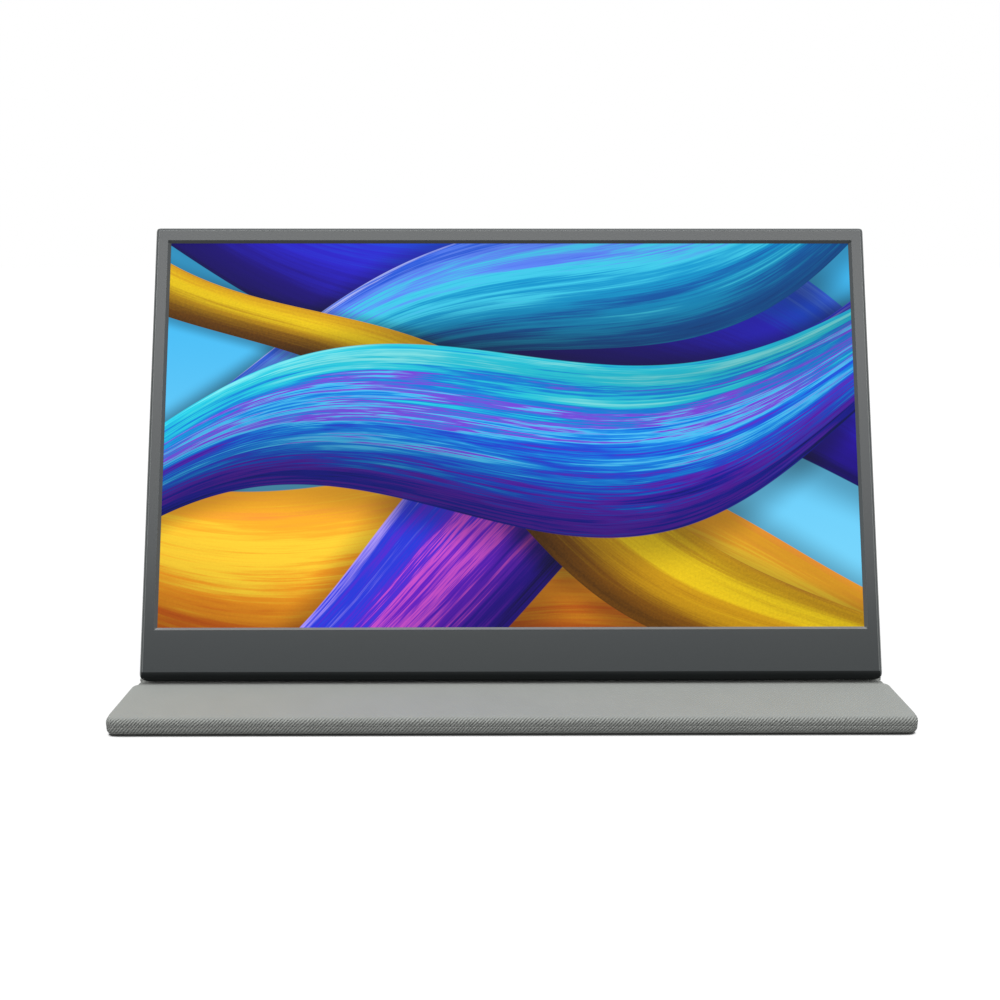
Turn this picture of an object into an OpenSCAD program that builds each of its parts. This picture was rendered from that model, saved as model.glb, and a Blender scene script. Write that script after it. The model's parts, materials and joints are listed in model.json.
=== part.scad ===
// Portable monitor standing on its folding fabric cover.
// +X runs along the width, the screen faces -Y, +Z is up. The origin is on the table,
// in the middle of the object.

/* [Display] */
// Width of the picture
screen_w = 344.2; // [280:0.2:420]
// Height of the picture
screen_h = 193.6; // [155:0.2:240]
// Bezel beside the picture
side_bezel = 7.5; // [7:0.1:15]
// Bezel above the picture
top_bezel = 7.8; // [7.4:0.1:16]
// Chin, from the picture down to the rounded bottom edge
chin_h = 21.2; // [20:0.1:32]

/* [Monitor body] */
// Thickness of the monitor
body_t = 9.2; // [9:0.02:12]
// Radius of the body's upper corners, seen from the front
body_corner_r = 2.2; // [1.5:0.1:3]
// Radius of the body's lower corners, seen from the front
foot_corner_r = 4; // [1.5:0.1:4.5]
// Radius of the body's rear edges
rear_edge_r = 1.2; // [0.6:0.1:1.5]
// Thickness of the bezel frame
bezel_t = 1.3; // [1.1:0.1:2]
// Width of the bevel round the bezel, seen from the front
outer_bevel_w = 1.4; // [0.6:0.1:2]
// Depth of the bevel round the bezel
outer_bevel_d = 0.9; // [0.4:0.1:1]
// Width of the slope from the bezel down to the picture
inner_bevel = 1.3; // [0.6:0.1:1.8]
// Side wall of the rear shell
shell_wall = 1.4; // [1:0.1:1.8]
// Back wall of the rear shell
back_wall = 1.1; // [0.9:0.1:1.3]

/* [Cover] */
// How far the base panels reach past each side of the monitor
cover_overhang = 4; // [0:0.1:8]
// How far the panels behind the monitor stay inside each of its sides
back_panel_inset = 2.1; // [0:0.1:8]
// Thickness of one covered panel
cover_t = 4.4; // [3:0.1:5]
// Thickness of the twill skin
skin_t = 0.6; // [0.4:0.1:0.8]
// Thickness of the inside lining
lining_t = 0.6; // [0.4:0.1:0.8]
// Corner radius of the panels
cover_corner_r = 3.4; // [3.3:0.1:6]
// From the monitor's edge to the front of the cover
seat_to_front = 41; // [38:0.2:60]
// From the rear foot to the fold of the spine, as the closed cover needs
spine_d = 14.2; // [13:0.1:18]
// Half the flexible gap at a fold
web_half = 2.6; // [2.4:0.1:4]
// Thickness of the fabric at a fold
web_t = 1; // [0.8:0.1:1.2]
// Half the width of the crease that the monitor stands in
crease_half = 3.2; // [2.6:0.1:5]

/* [Stand] */
// Lean of the monitor from the vertical, in degrees
lean = 20; // [14:0.5:26]
// Height of the fold on the monitor's back
back_fold_h = 112.8; // [90:0.2:136]

/* [Keys and ports] */
// Length of the power key
power_key_l = 9; // [6:0.5:12]
// Length of the menu rocker
rocker_l = 16; // [12:0.5:20]
// Width of both keys
key_w = 2; // [1.6:0.1:2.2]
// How far the keys stand out of the side
key_proud = 0.6; // [0.3:0.1:0.8]
// Travel of the power key
key_travel = 0.35; // [0.2:0.05:0.5]
// Bore of the headphone jack
jack_bore_r = 1.8; // [1.7:0.05:1.9]

/* [Hidden] */
$fn = 48;

// Colours
TWILL = [0.62, 0.63, 0.61];
LINING = [0.30, 0.31, 0.32];
CARD = [0.55, 0.52, 0.46];
BEZEL = [0.38, 0.40, 0.41];
SHELL = [0.16, 0.17, 0.18];
METAL = [0.74, 0.75, 0.76];
BOARD = [0.10, 0.33, 0.24];
CHIP = [0.10, 0.10, 0.11];
EPS = 0.01;

// Body of the monitor, in its own frame: x across, y to the rear, z up from the centre
// line of the rounded bottom edge.
body_w = screen_w + 2 * side_bezel;
top_z = chin_h + screen_h + top_bezel;
front_y = -body_t / 2;
back_y = body_t / 2;
bezel_y = front_y + bezel_t;
inner_y = back_y - back_wall;
inner_x = body_w / 2 - shell_wall;
inner_top = top_z - shell_wall;
cover_w = body_w + 2 * cover_overhang;
back_w = body_w - 2 * back_panel_inset;

// Layers of the display, from the bezel to the rear
gasket_t = 0.3;
glass_t = 1.1;
films_t = 0.5;
guide_t = 1.0;
reflector_t = 0.2;
tray_t = 0.4;
glass_y = bezel_y + gasket_t;
films_y = glass_y + glass_t;
guide_y = films_y + films_t;
reflector_y = guide_y + guide_t;
tray_y = reflector_y + reflector_t;
tray_back_y = tray_y + tray_t;
tray_side = 3.2;
tray_bottom = 5;
tray_w = screen_w + 2 * tray_side;
tray_z0 = chin_h - tray_bottom;
tray_z1 = chin_h + screen_h + tray_side;
glass_inset = 1.2;
film_inset = 1.5;
led_h = 1.8;

// Board below the glass, on posts in the chin
pcb_t = 0.8;
driver_end_in = 22.1;
driver_half = screen_w / 2 - driver_end_in;
driver_y = glass_y + 0.8;
driver_z0 = 6.6;
driver_z1 = tray_z0 - 0.8;
driver_chip_n = 5;
driver_chip_pitch = 45;
driver_chip_in = 25;
flex_end_in = 50;
flex_x = driver_half - flex_end_in;
chin_post_in = 17;
chin_post_x = driver_half - chin_post_in;
chin_post_z = 9;

// Circuit boards behind the tray
board_gap = 0.7;
pcb_y = tray_back_y + board_gap;
port_y = (tray_back_y + inner_y) / 2;
fit_gap = 0.15;
main_w = 116;
main_z0 = 44;
main_z1 = 106;
main_x1 = inner_x - 0.4;
main_x0 = main_x1 - main_w;
board_post_r = 2;
board_screw_r = 0.7;
board_hole_r = board_screw_r + 0.1;
board_hole_in = 5;
main_posts = [
    [main_x0 + board_hole_in, main_z0 + board_hole_in],
    [main_x0 + board_hole_in, main_z1 - board_hole_in],
    [main_x1 - board_hole_in, main_z1 - board_hole_in]
];

scaler_w = 14;
scaler_t = 1;
scaler_x = main_x0 + 52;
scaler_z = main_z0 + 24;
parts_x = main_x0 + 12;
controller_x = main_x0 + 78;
display_cable_x0 = main_x0 + 14;
display_cable_w = 22;

// Ports on the right edge, by the height of their centres
usb_w = 8.94;
usb_h = 3.1;
usb_wall = 0.3;
usb_d = 7.3;
usb_display_z = 56;
usb_power_z = 70;
hdmi_z = 86;
hdmi_w = 11.2;
hdmi_d = 7.5;
port_recess = 0.2;
port_face_x = body_w / 2 - port_recess;

// Left edge: jack, board with the switches, keys, status light
jack_z = 8.6;
jack_y = (bezel_y + inner_y) / 2;
jack_l = 13;
jack_body_t = 5;
jack_body_h = 6;
jack_nose_r = 2.5;
jack_bore_l = 12;
side_board_w = 14;
side_board_x0 = -inner_x + 2;
side_board_z0 = 4;
side_board_z1 = 68;
rocker_z = 34;
power_z = 52;
led_z = 62;
led_r = 0.5;
led_body = 1.6;
key_flange = 1.2;
key_flange_t = 0.8;
key_rest_gap = 0.1;
rocker_gap = 0.45;
rocker_deg = 2.5;
rocker_pin_r = 0.5;
rocker_switch_off = 6;
dip_r = 6;
dip_depth = 0.3;
rocker_pivot_x = -inner_x + rocker_gap + key_flange_t / 2;
rocker_pin_y0 = tray_back_y - 0.9;
rocker_pin_y1 = inner_y + 0.5;
ear_d = 1.8;
ear_h = 3.2;
rocker_back = rocker_pivot_x + key_flange_t / 2;
power_key_back = -inner_x + key_rest_gap + key_flange_t;
switch_x = -inner_x + 2.4;
switch_h = 1.8;
switch_w = 3.6;
switch_d = 2.6;
plunger_w = 1.6;

// Speakers, magnets and screws
speaker_l = 38;
speaker_h = 14;
speaker_t = 2.9;
speaker_in = 38.6;
speaker_x = body_w / 2 - speaker_in;
speaker_z = 27;
cone_r = 4.6;
cone_x = 8;
slot_n = 9;
slot_pitch = 3;
slot_w = 1.2;
slot_l = 9;
magnet_r = 5;
magnet_t = 0.9;
magnet_pitch = 45;
magnet_xs = [-3, -2, -1, 1, 2, 3] * magnet_pitch;
magnet_above_fold = 54;
magnet_z = back_fold_h + magnet_above_fold;
shell_screw_r = 0.7;
shell_head_r = 1.3;
shell_head_t = 0.7;
shell_boss_r = 1.4;
screw_sink = 0.1;
corner_screw_in = 19.6;
corner_screw_x = body_w / 2 - corner_screw_in;
corner_screw_z = 10;
chin_screw_x = 60;
chin_screw_z = 4.2;
top_screw_x = 120;
shell_screw_places = [
    [-corner_screw_x, corner_screw_z], [corner_screw_x, corner_screw_z],
    [-chin_screw_x, chin_screw_z], [chin_screw_x, chin_screw_z],
    [-top_screw_x, inner_top - shell_boss_r], [top_screw_x, inner_top - shell_boss_r]
];

// Cover: thickness of the board, and its inset from the panel's rounded edge
board_t = cover_t - skin_t - lining_t;
edge_r = cover_t / 2;
board_inset = 1.2;
lining_inset = 3;
spine_lining_in = max(2, edge_r);
magnet_gap = 0.2;
magnet_pocket_gap = 0.1;
web_gap = 0.05;
magnet_board_gap = 0.2;
cover_magnet_t = board_t - 2 * magnet_board_gap;

// Stand: the monitor's bottom edge rests on the upper base panel, the strut runs from
// the rear foot up to the fold on the back.
rest_gap = 0.3;
seat_z = 2 * cover_t + rest_gap + body_t / 2;
foot_z = cover_t / 2;
back_mid_y = back_y + magnet_gap + cover_t / 2;
fold_reach = norm([back_mid_y, back_fold_h]);
fold_angle = lean + atan(back_mid_y / back_fold_h);
fold_rise = fold_reach * cos(fold_angle);
// The ratio of the monitor's tilt to the strut's tilt that keeps the seat's height.
tilt_ratio = sqrt(1 + (seat_z - foot_z) / fold_rise);
strut_lean = atan(tan(fold_angle) / tilt_ratio);
strut_l = (seat_z - foot_z + fold_rise) / cos(strut_lean);
seat_to_foot = fold_reach * sin(fold_angle) + strut_l * sin(strut_lean);
base_d = seat_to_front + seat_to_foot + cover_t / 2;
base_front_y = -base_d / 2;
seat_y = base_front_y + seat_to_front;
foot_y = seat_y + seat_to_foot;
spine_fold_y = foot_y - spine_d;
back_panel_top = top_z - 2;

// Base panels
nose_r = 3;
nose_d = 6;
nose_y = base_front_y + nose_d;
board_nose_y = base_front_y + 2.2;
lower_rear_y = spine_fold_y - web_half;
upper_rear_y = lower_rear_y - 0.8;
crease_y = seat_y + 0.4;
crease_notch = 3;
crease_sink = 0.05;
crease_dip = 0.4;
crease_t = skin_t + lining_t;
crease_r = (pow(crease_half, 2) + pow(crease_dip, 2)) / (2 * crease_dip);
crease_front_y = crease_y - crease_half;
crease_rear_y = crease_y + crease_half;
base_magnet_x = cover_w / 2 - 24;
base_magnet_y = (crease_rear_y + upper_rear_y) / 2;

echo(seat_y = seat_y, seat_z = seat_z, foot_y = foot_y, foot_z = foot_z,
    strut_lean = strut_lean, strut_l = strut_l, tilt_ratio = tilt_ratio,
    back_mid_y = back_mid_y, base_d = base_d, body_w = body_w, top_z = top_z);

// ---------------------------------------------------------------- placing

// The monitor's own frame, leaning back on its seat
module at_monitor() {
    translate([0, seat_y, seat_z]) rotate([-lean, 0, 0]) children();
}

// The strut's frame: up from the rear foot
module at_strut() {
    translate([0, foot_y, foot_z]) rotate([strut_lean, 0, 0]) children();
}

// Stands a lying panel up, with its twill side to the rear and its middle at y = 0
module upright() {
    translate([0, cover_t / 2, 0]) rotate([90, 0, 0]) children();
}

module at_back() {
    at_monitor() translate([0, back_mid_y, 0]) children();
}

// Turns a lying panel over, onto the top of the lower base panel
module folded_over() {
    translate([0, 0, 2 * cover_t]) mirror([0, 0, 1]) children();
}

// ---------------------------------------------------------------- profiles

// Extrudes a (y, z) profile along X, centred
module along_x(length) {
    rotate([90, 0, 90]) linear_extrude(length, center = true) children();
}

// Extrudes an (x, z) profile along Y, from y0 to y1
module along_y(y0, y1) {
    translate([0, y1, 0]) rotate([90, 0, 0]) linear_extrude(y1 - y0) children();
}

// Extrudes a (y, z) profile from x0 to x1
module from_x(x0, x1) {
    translate([(x0 + x1) / 2, 0, 0]) along_x(x1 - x0) children();
}

module rounded_rect(w, h, r) {
    square([w - 2 * r, h], center = true);
    square([w, h - 2 * r], center = true);
    for (x = [-1, 1], y = [-1, 1])
        translate([x * (w / 2 - r), y * (h / 2 - r)]) circle(r);
}

// A slot with round ends, its length along the second axis
module slot(w, l) {
    square([w, l - w], center = true);
    for (s = [-1, 1]) translate([0, s * (l - w) / 2]) circle(d = w);
}

// A box from one corner to the other
module block(x0, x1, y0, y1, z0, z1) {
    translate([x0, y0, z0]) cube([x1 - x0, y1 - y0, z1 - z0]);
}

// A cylinder along Y
module post(x, z, r, y0, y1) {
    translate([x, y0, z]) rotate([-90, 0, 0]) cylinder(r = r, h = y1 - y0);
}

// A cylinder along X
module rod(x0, x1, y, z, r) {
    translate([x0, y, z]) rotate([0, 90, 0]) cylinder(r = r, h = x1 - x0);
}

// ---------------------------------------------------------------- monitor body

// Seen from the front, or that far inside it
module body_outline(inset = 0) {
    side = body_w / 2 - inset;
    low = inset - body_t / 2;
    high = top_z - inset;
    r1 = max(body_corner_r - inset, 0.1);
    r0 = max(foot_corner_r - inset, 0.1);
    translate([-side, low + r0]) square([2 * side, high - r1 - low - r0]);
    translate([r1 - side, low + r0]) square([2 * (side - r1), high - low - r0]);
    translate([r0 - side, low]) square([2 * (side - r0), high - r1 - low]);
    for (s = [-1, 1]) {
        translate([s * (side - r1), high - r1]) circle(r1);
        translate([s * (side - r0), low + r0]) circle(r0);
    }
}

// Seen from the side: full round below, bevelled at the top of the front
module side_section() {
    circle(d = body_t);
    polygon([
        [front_y, 0], [front_y, top_z - outer_bevel_w], [front_y + outer_bevel_d, top_z],
        [back_y - rear_edge_r, top_z], [back_y, top_z - rear_edge_r], [back_y, 0]
    ]);
    translate([back_y - rear_edge_r, top_z - rear_edge_r]) circle(rear_edge_r);
}

// Seen from above: bevelled front edges, rounded rear edges
module plan_section() {
    side = body_w / 2;
    polygon([
        [-side, back_y - rear_edge_r], [-side, front_y + outer_bevel_d],
        [outer_bevel_w - side, front_y], [side - outer_bevel_w, front_y],
        [side, front_y + outer_bevel_d], [side, back_y - rear_edge_r],
        [side - rear_edge_r, back_y], [rear_edge_r - side, back_y]
    ]);
    for (s = [-1, 1])
        translate([s * (side - rear_edge_r), back_y - rear_edge_r]) circle(rear_edge_r);
}

module body_envelope() {
    intersection() {
        along_y(front_y, back_y) body_outline();
        along_x(body_w) side_section();
        translate([0, 0, -body_t / 2]) linear_extrude(top_z + body_t / 2) plan_section();
    }
}

// The part of the body in front of the rear shell
module bezel_space(margin) {
    block(-body_w, body_w, front_y - 1, bezel_y + margin, 0, top_z + 1);
}

// The window over the picture, sloping outward to the front
module window() {
    w = screen_w / 2;
    over = 1;
    front = front_y - over;
    spread = inner_bevel * (bezel_t + over) / bezel_t;
    intersection() {
        along_x(body_w) polygon([
            [bezel_y + EPS, chin_h], [bezel_y + EPS, chin_h + screen_h],
            [bezel_y, chin_h + screen_h], [front, chin_h + screen_h + spread],
            [front, chin_h - spread], [bezel_y, chin_h]
        ]);
        linear_extrude(top_z) polygon([
            [-w, bezel_y + EPS], [-w, bezel_y], [-w - spread, front],
            [w + spread, front], [w, bezel_y], [w, bezel_y + EPS]
        ]);
    }
}

module front_bezel() {
    color(BEZEL) at_monitor() difference() {
        union() {
            difference() {
                intersection() {
                    body_envelope();
                    bezel_space(0);
                }
                window();
            }
            for (p = shell_screw_places)
                post(p[0], p[1], shell_boss_r, bezel_y - EPS, inner_y - fit_gap);
            for (x = [-1, -0.5, 0.5, 1] * chin_post_x)
                post(x, chin_post_z, shell_boss_r, bezel_y - EPS, driver_y - EPS);
        }
        for (p = shell_screw_places)
            post(p[0], p[1], shell_screw_r, bezel_y + 0.5, back_y);
    }
}

// The space inside the rear shell
module cavity() {
    intersection() {
        along_x(body_w) {
            circle(body_t / 2 - shell_wall);
            translate([bezel_y - EPS, 0]) square([inner_y - bezel_y + EPS, inner_top]);
        }
        along_y(front_y, back_y) body_outline(shell_wall);
    }
}

module rear_shell() {
    color(SHELL) at_monitor() difference() {
        union() {
            difference() {
                body_envelope();
                bezel_space(0);
                cavity();
            }
            for (p = main_posts) post(p[0], p[1], board_post_r, pcb_y + pcb_t, inner_y + EPS);
            rocker_ear();
        }
        for (p = main_posts) post(p[0], p[1], board_screw_r, pcb_y, inner_y - 0.1);
        for (p = shell_screw_places) {
            post(p[0], p[1], shell_screw_r + fit_gap, inner_y - 1, back_y + 1);
            post(p[0], p[1], shell_head_r + fit_gap, back_y - shell_head_t - screw_sink, back_y + 1);
        }
        port_openings();
        key_openings();
        speaker_slots();
    }
}

module port_openings() {
    for (z = [usb_display_z, usb_power_z])
        from_x(inner_x - 1, body_w / 2 + 1) translate([port_y, z])
            slot(usb_h + 2 * fit_gap, usb_w + 2 * fit_gap);
    from_x(inner_x - 1, body_w / 2 + 1) translate([port_y, hdmi_z])
        hdmi_outline(fit_gap);
    rod(-body_w / 2 - 1, 1 - inner_x, jack_y, jack_z, jack_nose_r + fit_gap);
}

module key_openings() {
    from_x(-body_w / 2 - 1, 1 - inner_x) {
        translate([port_y, power_z]) slot(key_w + 2 * fit_gap, power_key_l + 2 * fit_gap);
        translate([port_y, rocker_z]) slot(key_w + 2 * fit_gap, rocker_l + 4 * fit_gap);
    }
    rod(-body_w / 2 - 1, 1 - inner_x, port_y, led_z, led_r + 0.05);
    post(rocker_pivot_x, rocker_z, rocker_pin_r + 0.05, rocker_pin_y0 - 0.1, rocker_pin_y1 + 0.1);
}

// An ear on the side wall that carries the front end of the rocker's pin
module rocker_ear() {
    block(-inner_x - EPS, -inner_x + ear_d, rocker_pin_y0 - 0.5, tray_back_y - 0.1,
        rocker_z - ear_h / 2, rocker_z + ear_h / 2);
}

module speaker_slots() {
    for (s = [-1, 1], i = [0:slot_n - 1])
        along_y(inner_y - 1, back_y + 1)
            translate([s * speaker_x + (i - (slot_n - 1) / 2) * slot_pitch, speaker_z])
                slot(slot_w, slot_l);
}

module shell_screws() {
    color(METAL) at_monitor() for (p = shell_screw_places) {
        post(p[0], p[1], shell_screw_r - 0.03, bezel_y + 0.7, back_y - screw_sink - shell_head_t + EPS);
        post(p[0], p[1], shell_head_r, back_y - screw_sink - shell_head_t, back_y - screw_sink);
    }
}

// ---------------------------------------------------------------- display layers

// A sheet behind the picture: y0, thickness, inset from the tray's outer edge
module sheet(y0, t, inset, low = 0) {
    block(-tray_w / 2 + inset, tray_w / 2 - inset, y0, y0 + t, tray_z0 + inset + low, tray_z1 - inset);
}

module panel_gasket() {
    margin = 0.4;
    width = 1.5;
    color(CHIP) at_monitor() along_y(bezel_y, glass_y)
        translate([0, chin_h + screen_h / 2]) difference() {
            square([screen_w + 2 * (margin + width), screen_h + 2 * (margin + width)], center = true);
            square([screen_w + 2 * margin, screen_h + 2 * margin], center = true);
        }
}

module lcd_panel() {
    color([0.12, 0.36, 0.72]) at_monitor() sheet(glass_y, glass_t, glass_inset);
}

module optical_films() {
    color([0.92, 0.94, 0.96]) at_monitor() sheet(films_y, films_t, film_inset);
}

module light_guide_plate() {
    color([0.80, 0.90, 0.92]) at_monitor() sheet(guide_y, guide_t, film_inset, led_h + 0.2);
}

module reflector_sheet() {
    color("white") at_monitor() sheet(reflector_y, reflector_t, film_inset);
}

module led_strip() {
    led_n = 48;
    led_w = 3.8;
    strip_h = 0.4;
    strip_w = tray_w - 2 * film_inset - 1;
    pitch = strip_w / led_n;
    z = tray_z0 + film_inset;
    color([0.95, 0.93, 0.80]) at_monitor() {
        block(-strip_w / 2, strip_w / 2, guide_y + 0.05, reflector_y - 0.05, z, z + strip_h);
        for (i = [0:led_n - 1])
            translate([(i - (led_n - 1) / 2) * pitch - led_w / 2, guide_y + 0.1, z + strip_h - EPS])
                cube([led_w, guide_t - 0.2, led_h - strip_h]);
    }
}

module backlight_tray() {
    rim = 0.4;
    color(METAL) at_monitor() difference() {
        block(-tray_w / 2, tray_w / 2, films_y, tray_back_y, tray_z0, tray_z1);
        block(-tray_w / 2 + rim, tray_w / 2 - rim, films_y - 1, tray_y, tray_z0 + rim, tray_z1 - rim);
    }
}

module panel_driver_board() {
    chip_w = 7;
    chip_h = 4.4;
    chip_t = 0.9;
    color(BOARD) at_monitor() {
        block(-driver_half, driver_half, driver_y, driver_y + pcb_t, driver_z0, driver_z1);
        for (i = [0:driver_chip_n - 1])
            translate([
                driver_chip_in - driver_half + i * driver_chip_pitch,
                driver_y + pcb_t - EPS,
                driver_z0 + 2
            ])
                cube([chip_w, chip_t, chip_h]);
    }
}

module panel_flex() {
    flex_w = 24;
    flex_t = 0.15;
    color([0.75, 0.50, 0.15]) at_monitor() for (x = [-1, -1 / 3, 1 / 3, 1] * flex_x)
        block(x - flex_w / 2, x + flex_w / 2, driver_y - flex_t, driver_y,
            driver_z1 - 2, tray_z0 + glass_inset);
}

module display_cable() {
    cable_t = 0.3;
    z0 = driver_z0 + 5;
    y0 = driver_y + pcb_t;
    y1 = pcb_y - 0.25;
    z1 = main_z0 + 8;
    x1 = display_cable_x0 + display_cable_w;
    color([0.20, 0.22, 0.30]) at_monitor() from_x(display_cable_x0, x1) {
        translate([y0, z0]) square([y1 - y0, cable_t]);
        translate([y1 - cable_t, z0]) square([cable_t, z1 - z0]);
        translate([y1 - EPS, z1 - 5]) square([pcb_y - y1 + EPS, 5]);
    }
}

// ---------------------------------------------------------------- boards and ports

module hdmi_outline(grow) {
    h = usb_h / 2 + grow;
    w = hdmi_w / 2 + grow;
    polygon([[-h, -w + 1], [-h, w - 1], [0, w], [h, w], [h, -w], [0, -w]]);
}

module main_board() {
    color(BOARD) at_monitor() difference() {
        block(main_x0, main_x1, pcb_y, pcb_y + pcb_t, main_z0, main_z1);
        for (z = [usb_display_z, usb_power_z])
            block(port_face_x - usb_d - fit_gap, body_w, pcb_y - 1, pcb_y + 2,
                z - usb_w / 2 - fit_gap, z + usb_w / 2 + fit_gap);
        block(port_face_x - hdmi_d - fit_gap, body_w, pcb_y - 1, pcb_y + 2,
            hdmi_z - hdmi_w / 2 - fit_gap, hdmi_z + hdmi_w / 2 + fit_gap);
        for (p = main_posts) post(p[0], p[1], board_hole_r, pcb_y - 1, pcb_y + 2);
    }
}

module board_screws() {
    color(METAL) at_monitor() for (p = main_posts) {
        post(p[0], p[1], board_screw_r - 0.03, pcb_y - EPS, inner_y - 0.3);
        post(p[0], p[1], 1.4, pcb_y - 0.55, pcb_y);
    }
}

// Parts stand on the rear face of the board; size is along x, up the board and off it
module on_board(x, z, size) {
    translate([x, pcb_y + pcb_t, z]) cube([size[0], size[2], size[1]]);
}

module scaler_chip() {
    color(CHIP) at_monitor() on_board(scaler_x, scaler_z, [scaler_w, scaler_w, scaler_t]);
}

module power_parts() {
    coil = [6, 6, 1.5];
    coil_pitch = 9;
    capacitor = [3.2, 1.6, 0.9];
    capacitor_pitch = 6;
    controller = [8, 5, 1.2];
    controller_pitch = 12;
    color([0.25, 0.25, 0.27]) at_monitor() {
        for (i = [0:3]) on_board(parts_x + i * coil_pitch, main_z1 - 16, coil);
        for (i = [0:5]) on_board(parts_x + i * capacitor_pitch, main_z0 + 12, capacitor);
        for (i = [0:1])
            on_board(controller_x, main_z0 + 9 + i * controller_pitch, controller);
    }
}

// Pressed can over the scaler
module board_shield() {
    margin = 4;
    can = scaler_w + 2 * margin;
    wall = 0.2;
    h = scaler_t + 0.4;
    inside = can - 2 * wall;
    x0 = scaler_x - margin;
    z0 = scaler_z - margin;
    color(METAL) at_monitor() difference() {
        on_board(x0, z0, [can, can, h]);
        translate([0, -EPS, 0]) on_board(x0 + wall, z0 + wall, [inside, inside, h - wall]);
    }
}

module usb_c_port(z) {
    tongue_w = 6.7;
    tongue_t = 0.7;
    floor_d = 1;
    at_monitor() {
        difference() {
            from_x(port_face_x - usb_d, port_face_x) translate([port_y, z]) slot(usb_h, usb_w);
            from_x(port_face_x - usb_d + floor_d, port_face_x + 1) translate([port_y, z])
                slot(usb_h - 2 * usb_wall, usb_w - 2 * usb_wall);
        }
        from_x(port_face_x - usb_d + floor_d - EPS, port_face_x - 0.8) translate([port_y, z])
            square([tongue_t, tongue_w], center = true);
    }
}

module usb_c_port_display() {
    color(METAL) usb_c_port(usb_display_z);
}

module usb_c_port_power() {
    color(METAL) usb_c_port(usb_power_z);
}

module mini_hdmi_port() {
    tongue_w = 8;
    tongue_t = 0.6;
    color(METAL) at_monitor() {
        difference() {
            from_x(port_face_x - hdmi_d, port_face_x) translate([port_y, hdmi_z]) hdmi_outline(0);
            from_x(port_face_x - hdmi_d + 1, port_face_x + 1) translate([port_y, hdmi_z])
                hdmi_outline(-usb_wall);
        }
        from_x(port_face_x - hdmi_d + 1 - EPS, port_face_x - 1) translate([port_y, hdmi_z])
            square([tongue_t, tongue_w], center = true);
    }
}

module headphone_jack() {
    x1 = -body_w / 2 + port_recess;
    color(CHIP) at_monitor() difference() {
        union() {
            block(-inner_x + 0.3, x1 + jack_l, jack_y - jack_body_t / 2, jack_y + jack_body_t / 2,
                jack_z - jack_body_h / 2, jack_z + jack_body_h / 2);
            rod(x1, -inner_x + 1, jack_y, jack_z, jack_nose_r);
        }
        rod(x1 - 1, x1 + jack_bore_l, jack_y, jack_z, jack_bore_r);
    }
}

// Cut in the side board round what stands in it
module side_notch(z, h, d) {
    block(side_board_x0 - 1, side_board_x0 + d, pcb_y - 1, pcb_y + 2, z - h / 2, z + h / 2);
}

module button_board() {
    jack_in = jack_l - shell_wall - port_recess - side_board_x0 - inner_x;
    color(BOARD) at_monitor() difference() {
        block(side_board_x0, side_board_x0 + side_board_w, pcb_y, pcb_y + pcb_t,
            side_board_z0, side_board_z1);
        side_notch(jack_z, jack_body_h + 2 * fit_gap, jack_in + port_recess * 2 + fit_gap);
        side_notch(power_z, switch_w + 2 * fit_gap, switch_x - side_board_x0 + switch_d + fit_gap);
        for (s = [-1, 1]) side_notch(rocker_z + s * rocker_switch_off, switch_w + 2 * fit_gap,
            switch_x - side_board_x0 + switch_d + fit_gap);
        post(side_board_x0 + side_board_w - 4, side_board_z1 - 4, board_hole_r, pcb_y - 1, pcb_y + 2);
    }
}

// A side-pressed switch, its plunger towards the key
module side_switch(z, tip_x) {
    block(switch_x, switch_x + switch_d, port_y - switch_h / 2, port_y + switch_h / 2,
        z - switch_w / 2, z + switch_w / 2);
    block(tip_x, switch_x + EPS, port_y - 0.5, port_y + 0.5, z - plunger_w / 2, z + plunger_w / 2);
}

module power_switch() {
    color(CHIP) at_monitor() side_switch(power_z, power_key_back + key_travel + 0.05);
}

module menu_switches() {
    swing = (rocker_switch_off + plunger_w / 2) * sin(rocker_deg);
    color(CHIP) at_monitor() for (s = [-1, 1])
        side_switch(rocker_z + s * rocker_switch_off, rocker_back + swing + 0.05);
}

module button_cable() {
    foot_l = 3;
    gap = 0.15;
    cable_t = 0.3;
    z0 = 56;
    z1 = 60;
    x0 = side_board_x0 + side_board_w - foot_l;
    color([0.20, 0.22, 0.30]) at_monitor() {
        block(x0, main_x0 + foot_l + 1, pcb_y - gap - cable_t, pcb_y - gap, z0, z1);
        for (x = [x0, main_x0 + EPS]) block(x, x + foot_l, pcb_y - gap - EPS, pcb_y, z0, z1);
    }
}

module speaker(side) {
    at_monitor() translate([side * speaker_x, 0, speaker_z]) difference() {
        along_y(inner_y - 0.1 - speaker_t, inner_y - 0.1) rounded_rect(speaker_l, speaker_h, 2);
        for (x = [-1, 1]) post(x * cone_x, 0, cone_r, inner_y - 0.7, inner_y + 1);
    }
}

module speaker_left() {
    color(CHIP) speaker(-1);
}

module speaker_right() {
    color(CHIP) speaker(1);
}

module speaker_leads() {
    lead = 0.9;
    y = pcb_y + pcb_t / 2;
    left_x = -speaker_x + speaker_l / 2;
    join_x = main_x0 + 6;
    color([0.55, 0.12, 0.10]) at_monitor() {
        block(left_x, join_x, y, y + lead, speaker_z, speaker_z + lead);
        block(join_x - lead, join_x, y, y + lead, speaker_z, main_z0);
        block(speaker_x, speaker_x + lead, y, y + lead, speaker_z + speaker_h / 2, main_z0);
    }
}

module status_led() {
    color([0.85, 0.92, 1]) at_monitor() {
        rod(-body_w / 2, side_board_x0, port_y, led_z, led_r);
        block(side_board_x0 - EPS, side_board_x0 + led_body, pcb_y + pcb_t, port_y + led_body / 2,
            led_z - led_body / 2, led_z + led_body / 2);
    }
}

module shell_magnets() {
    color(METAL) at_monitor() for (x = magnet_xs)
        post(x, magnet_z, magnet_r, inner_y - magnet_t, inner_y);
}

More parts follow.
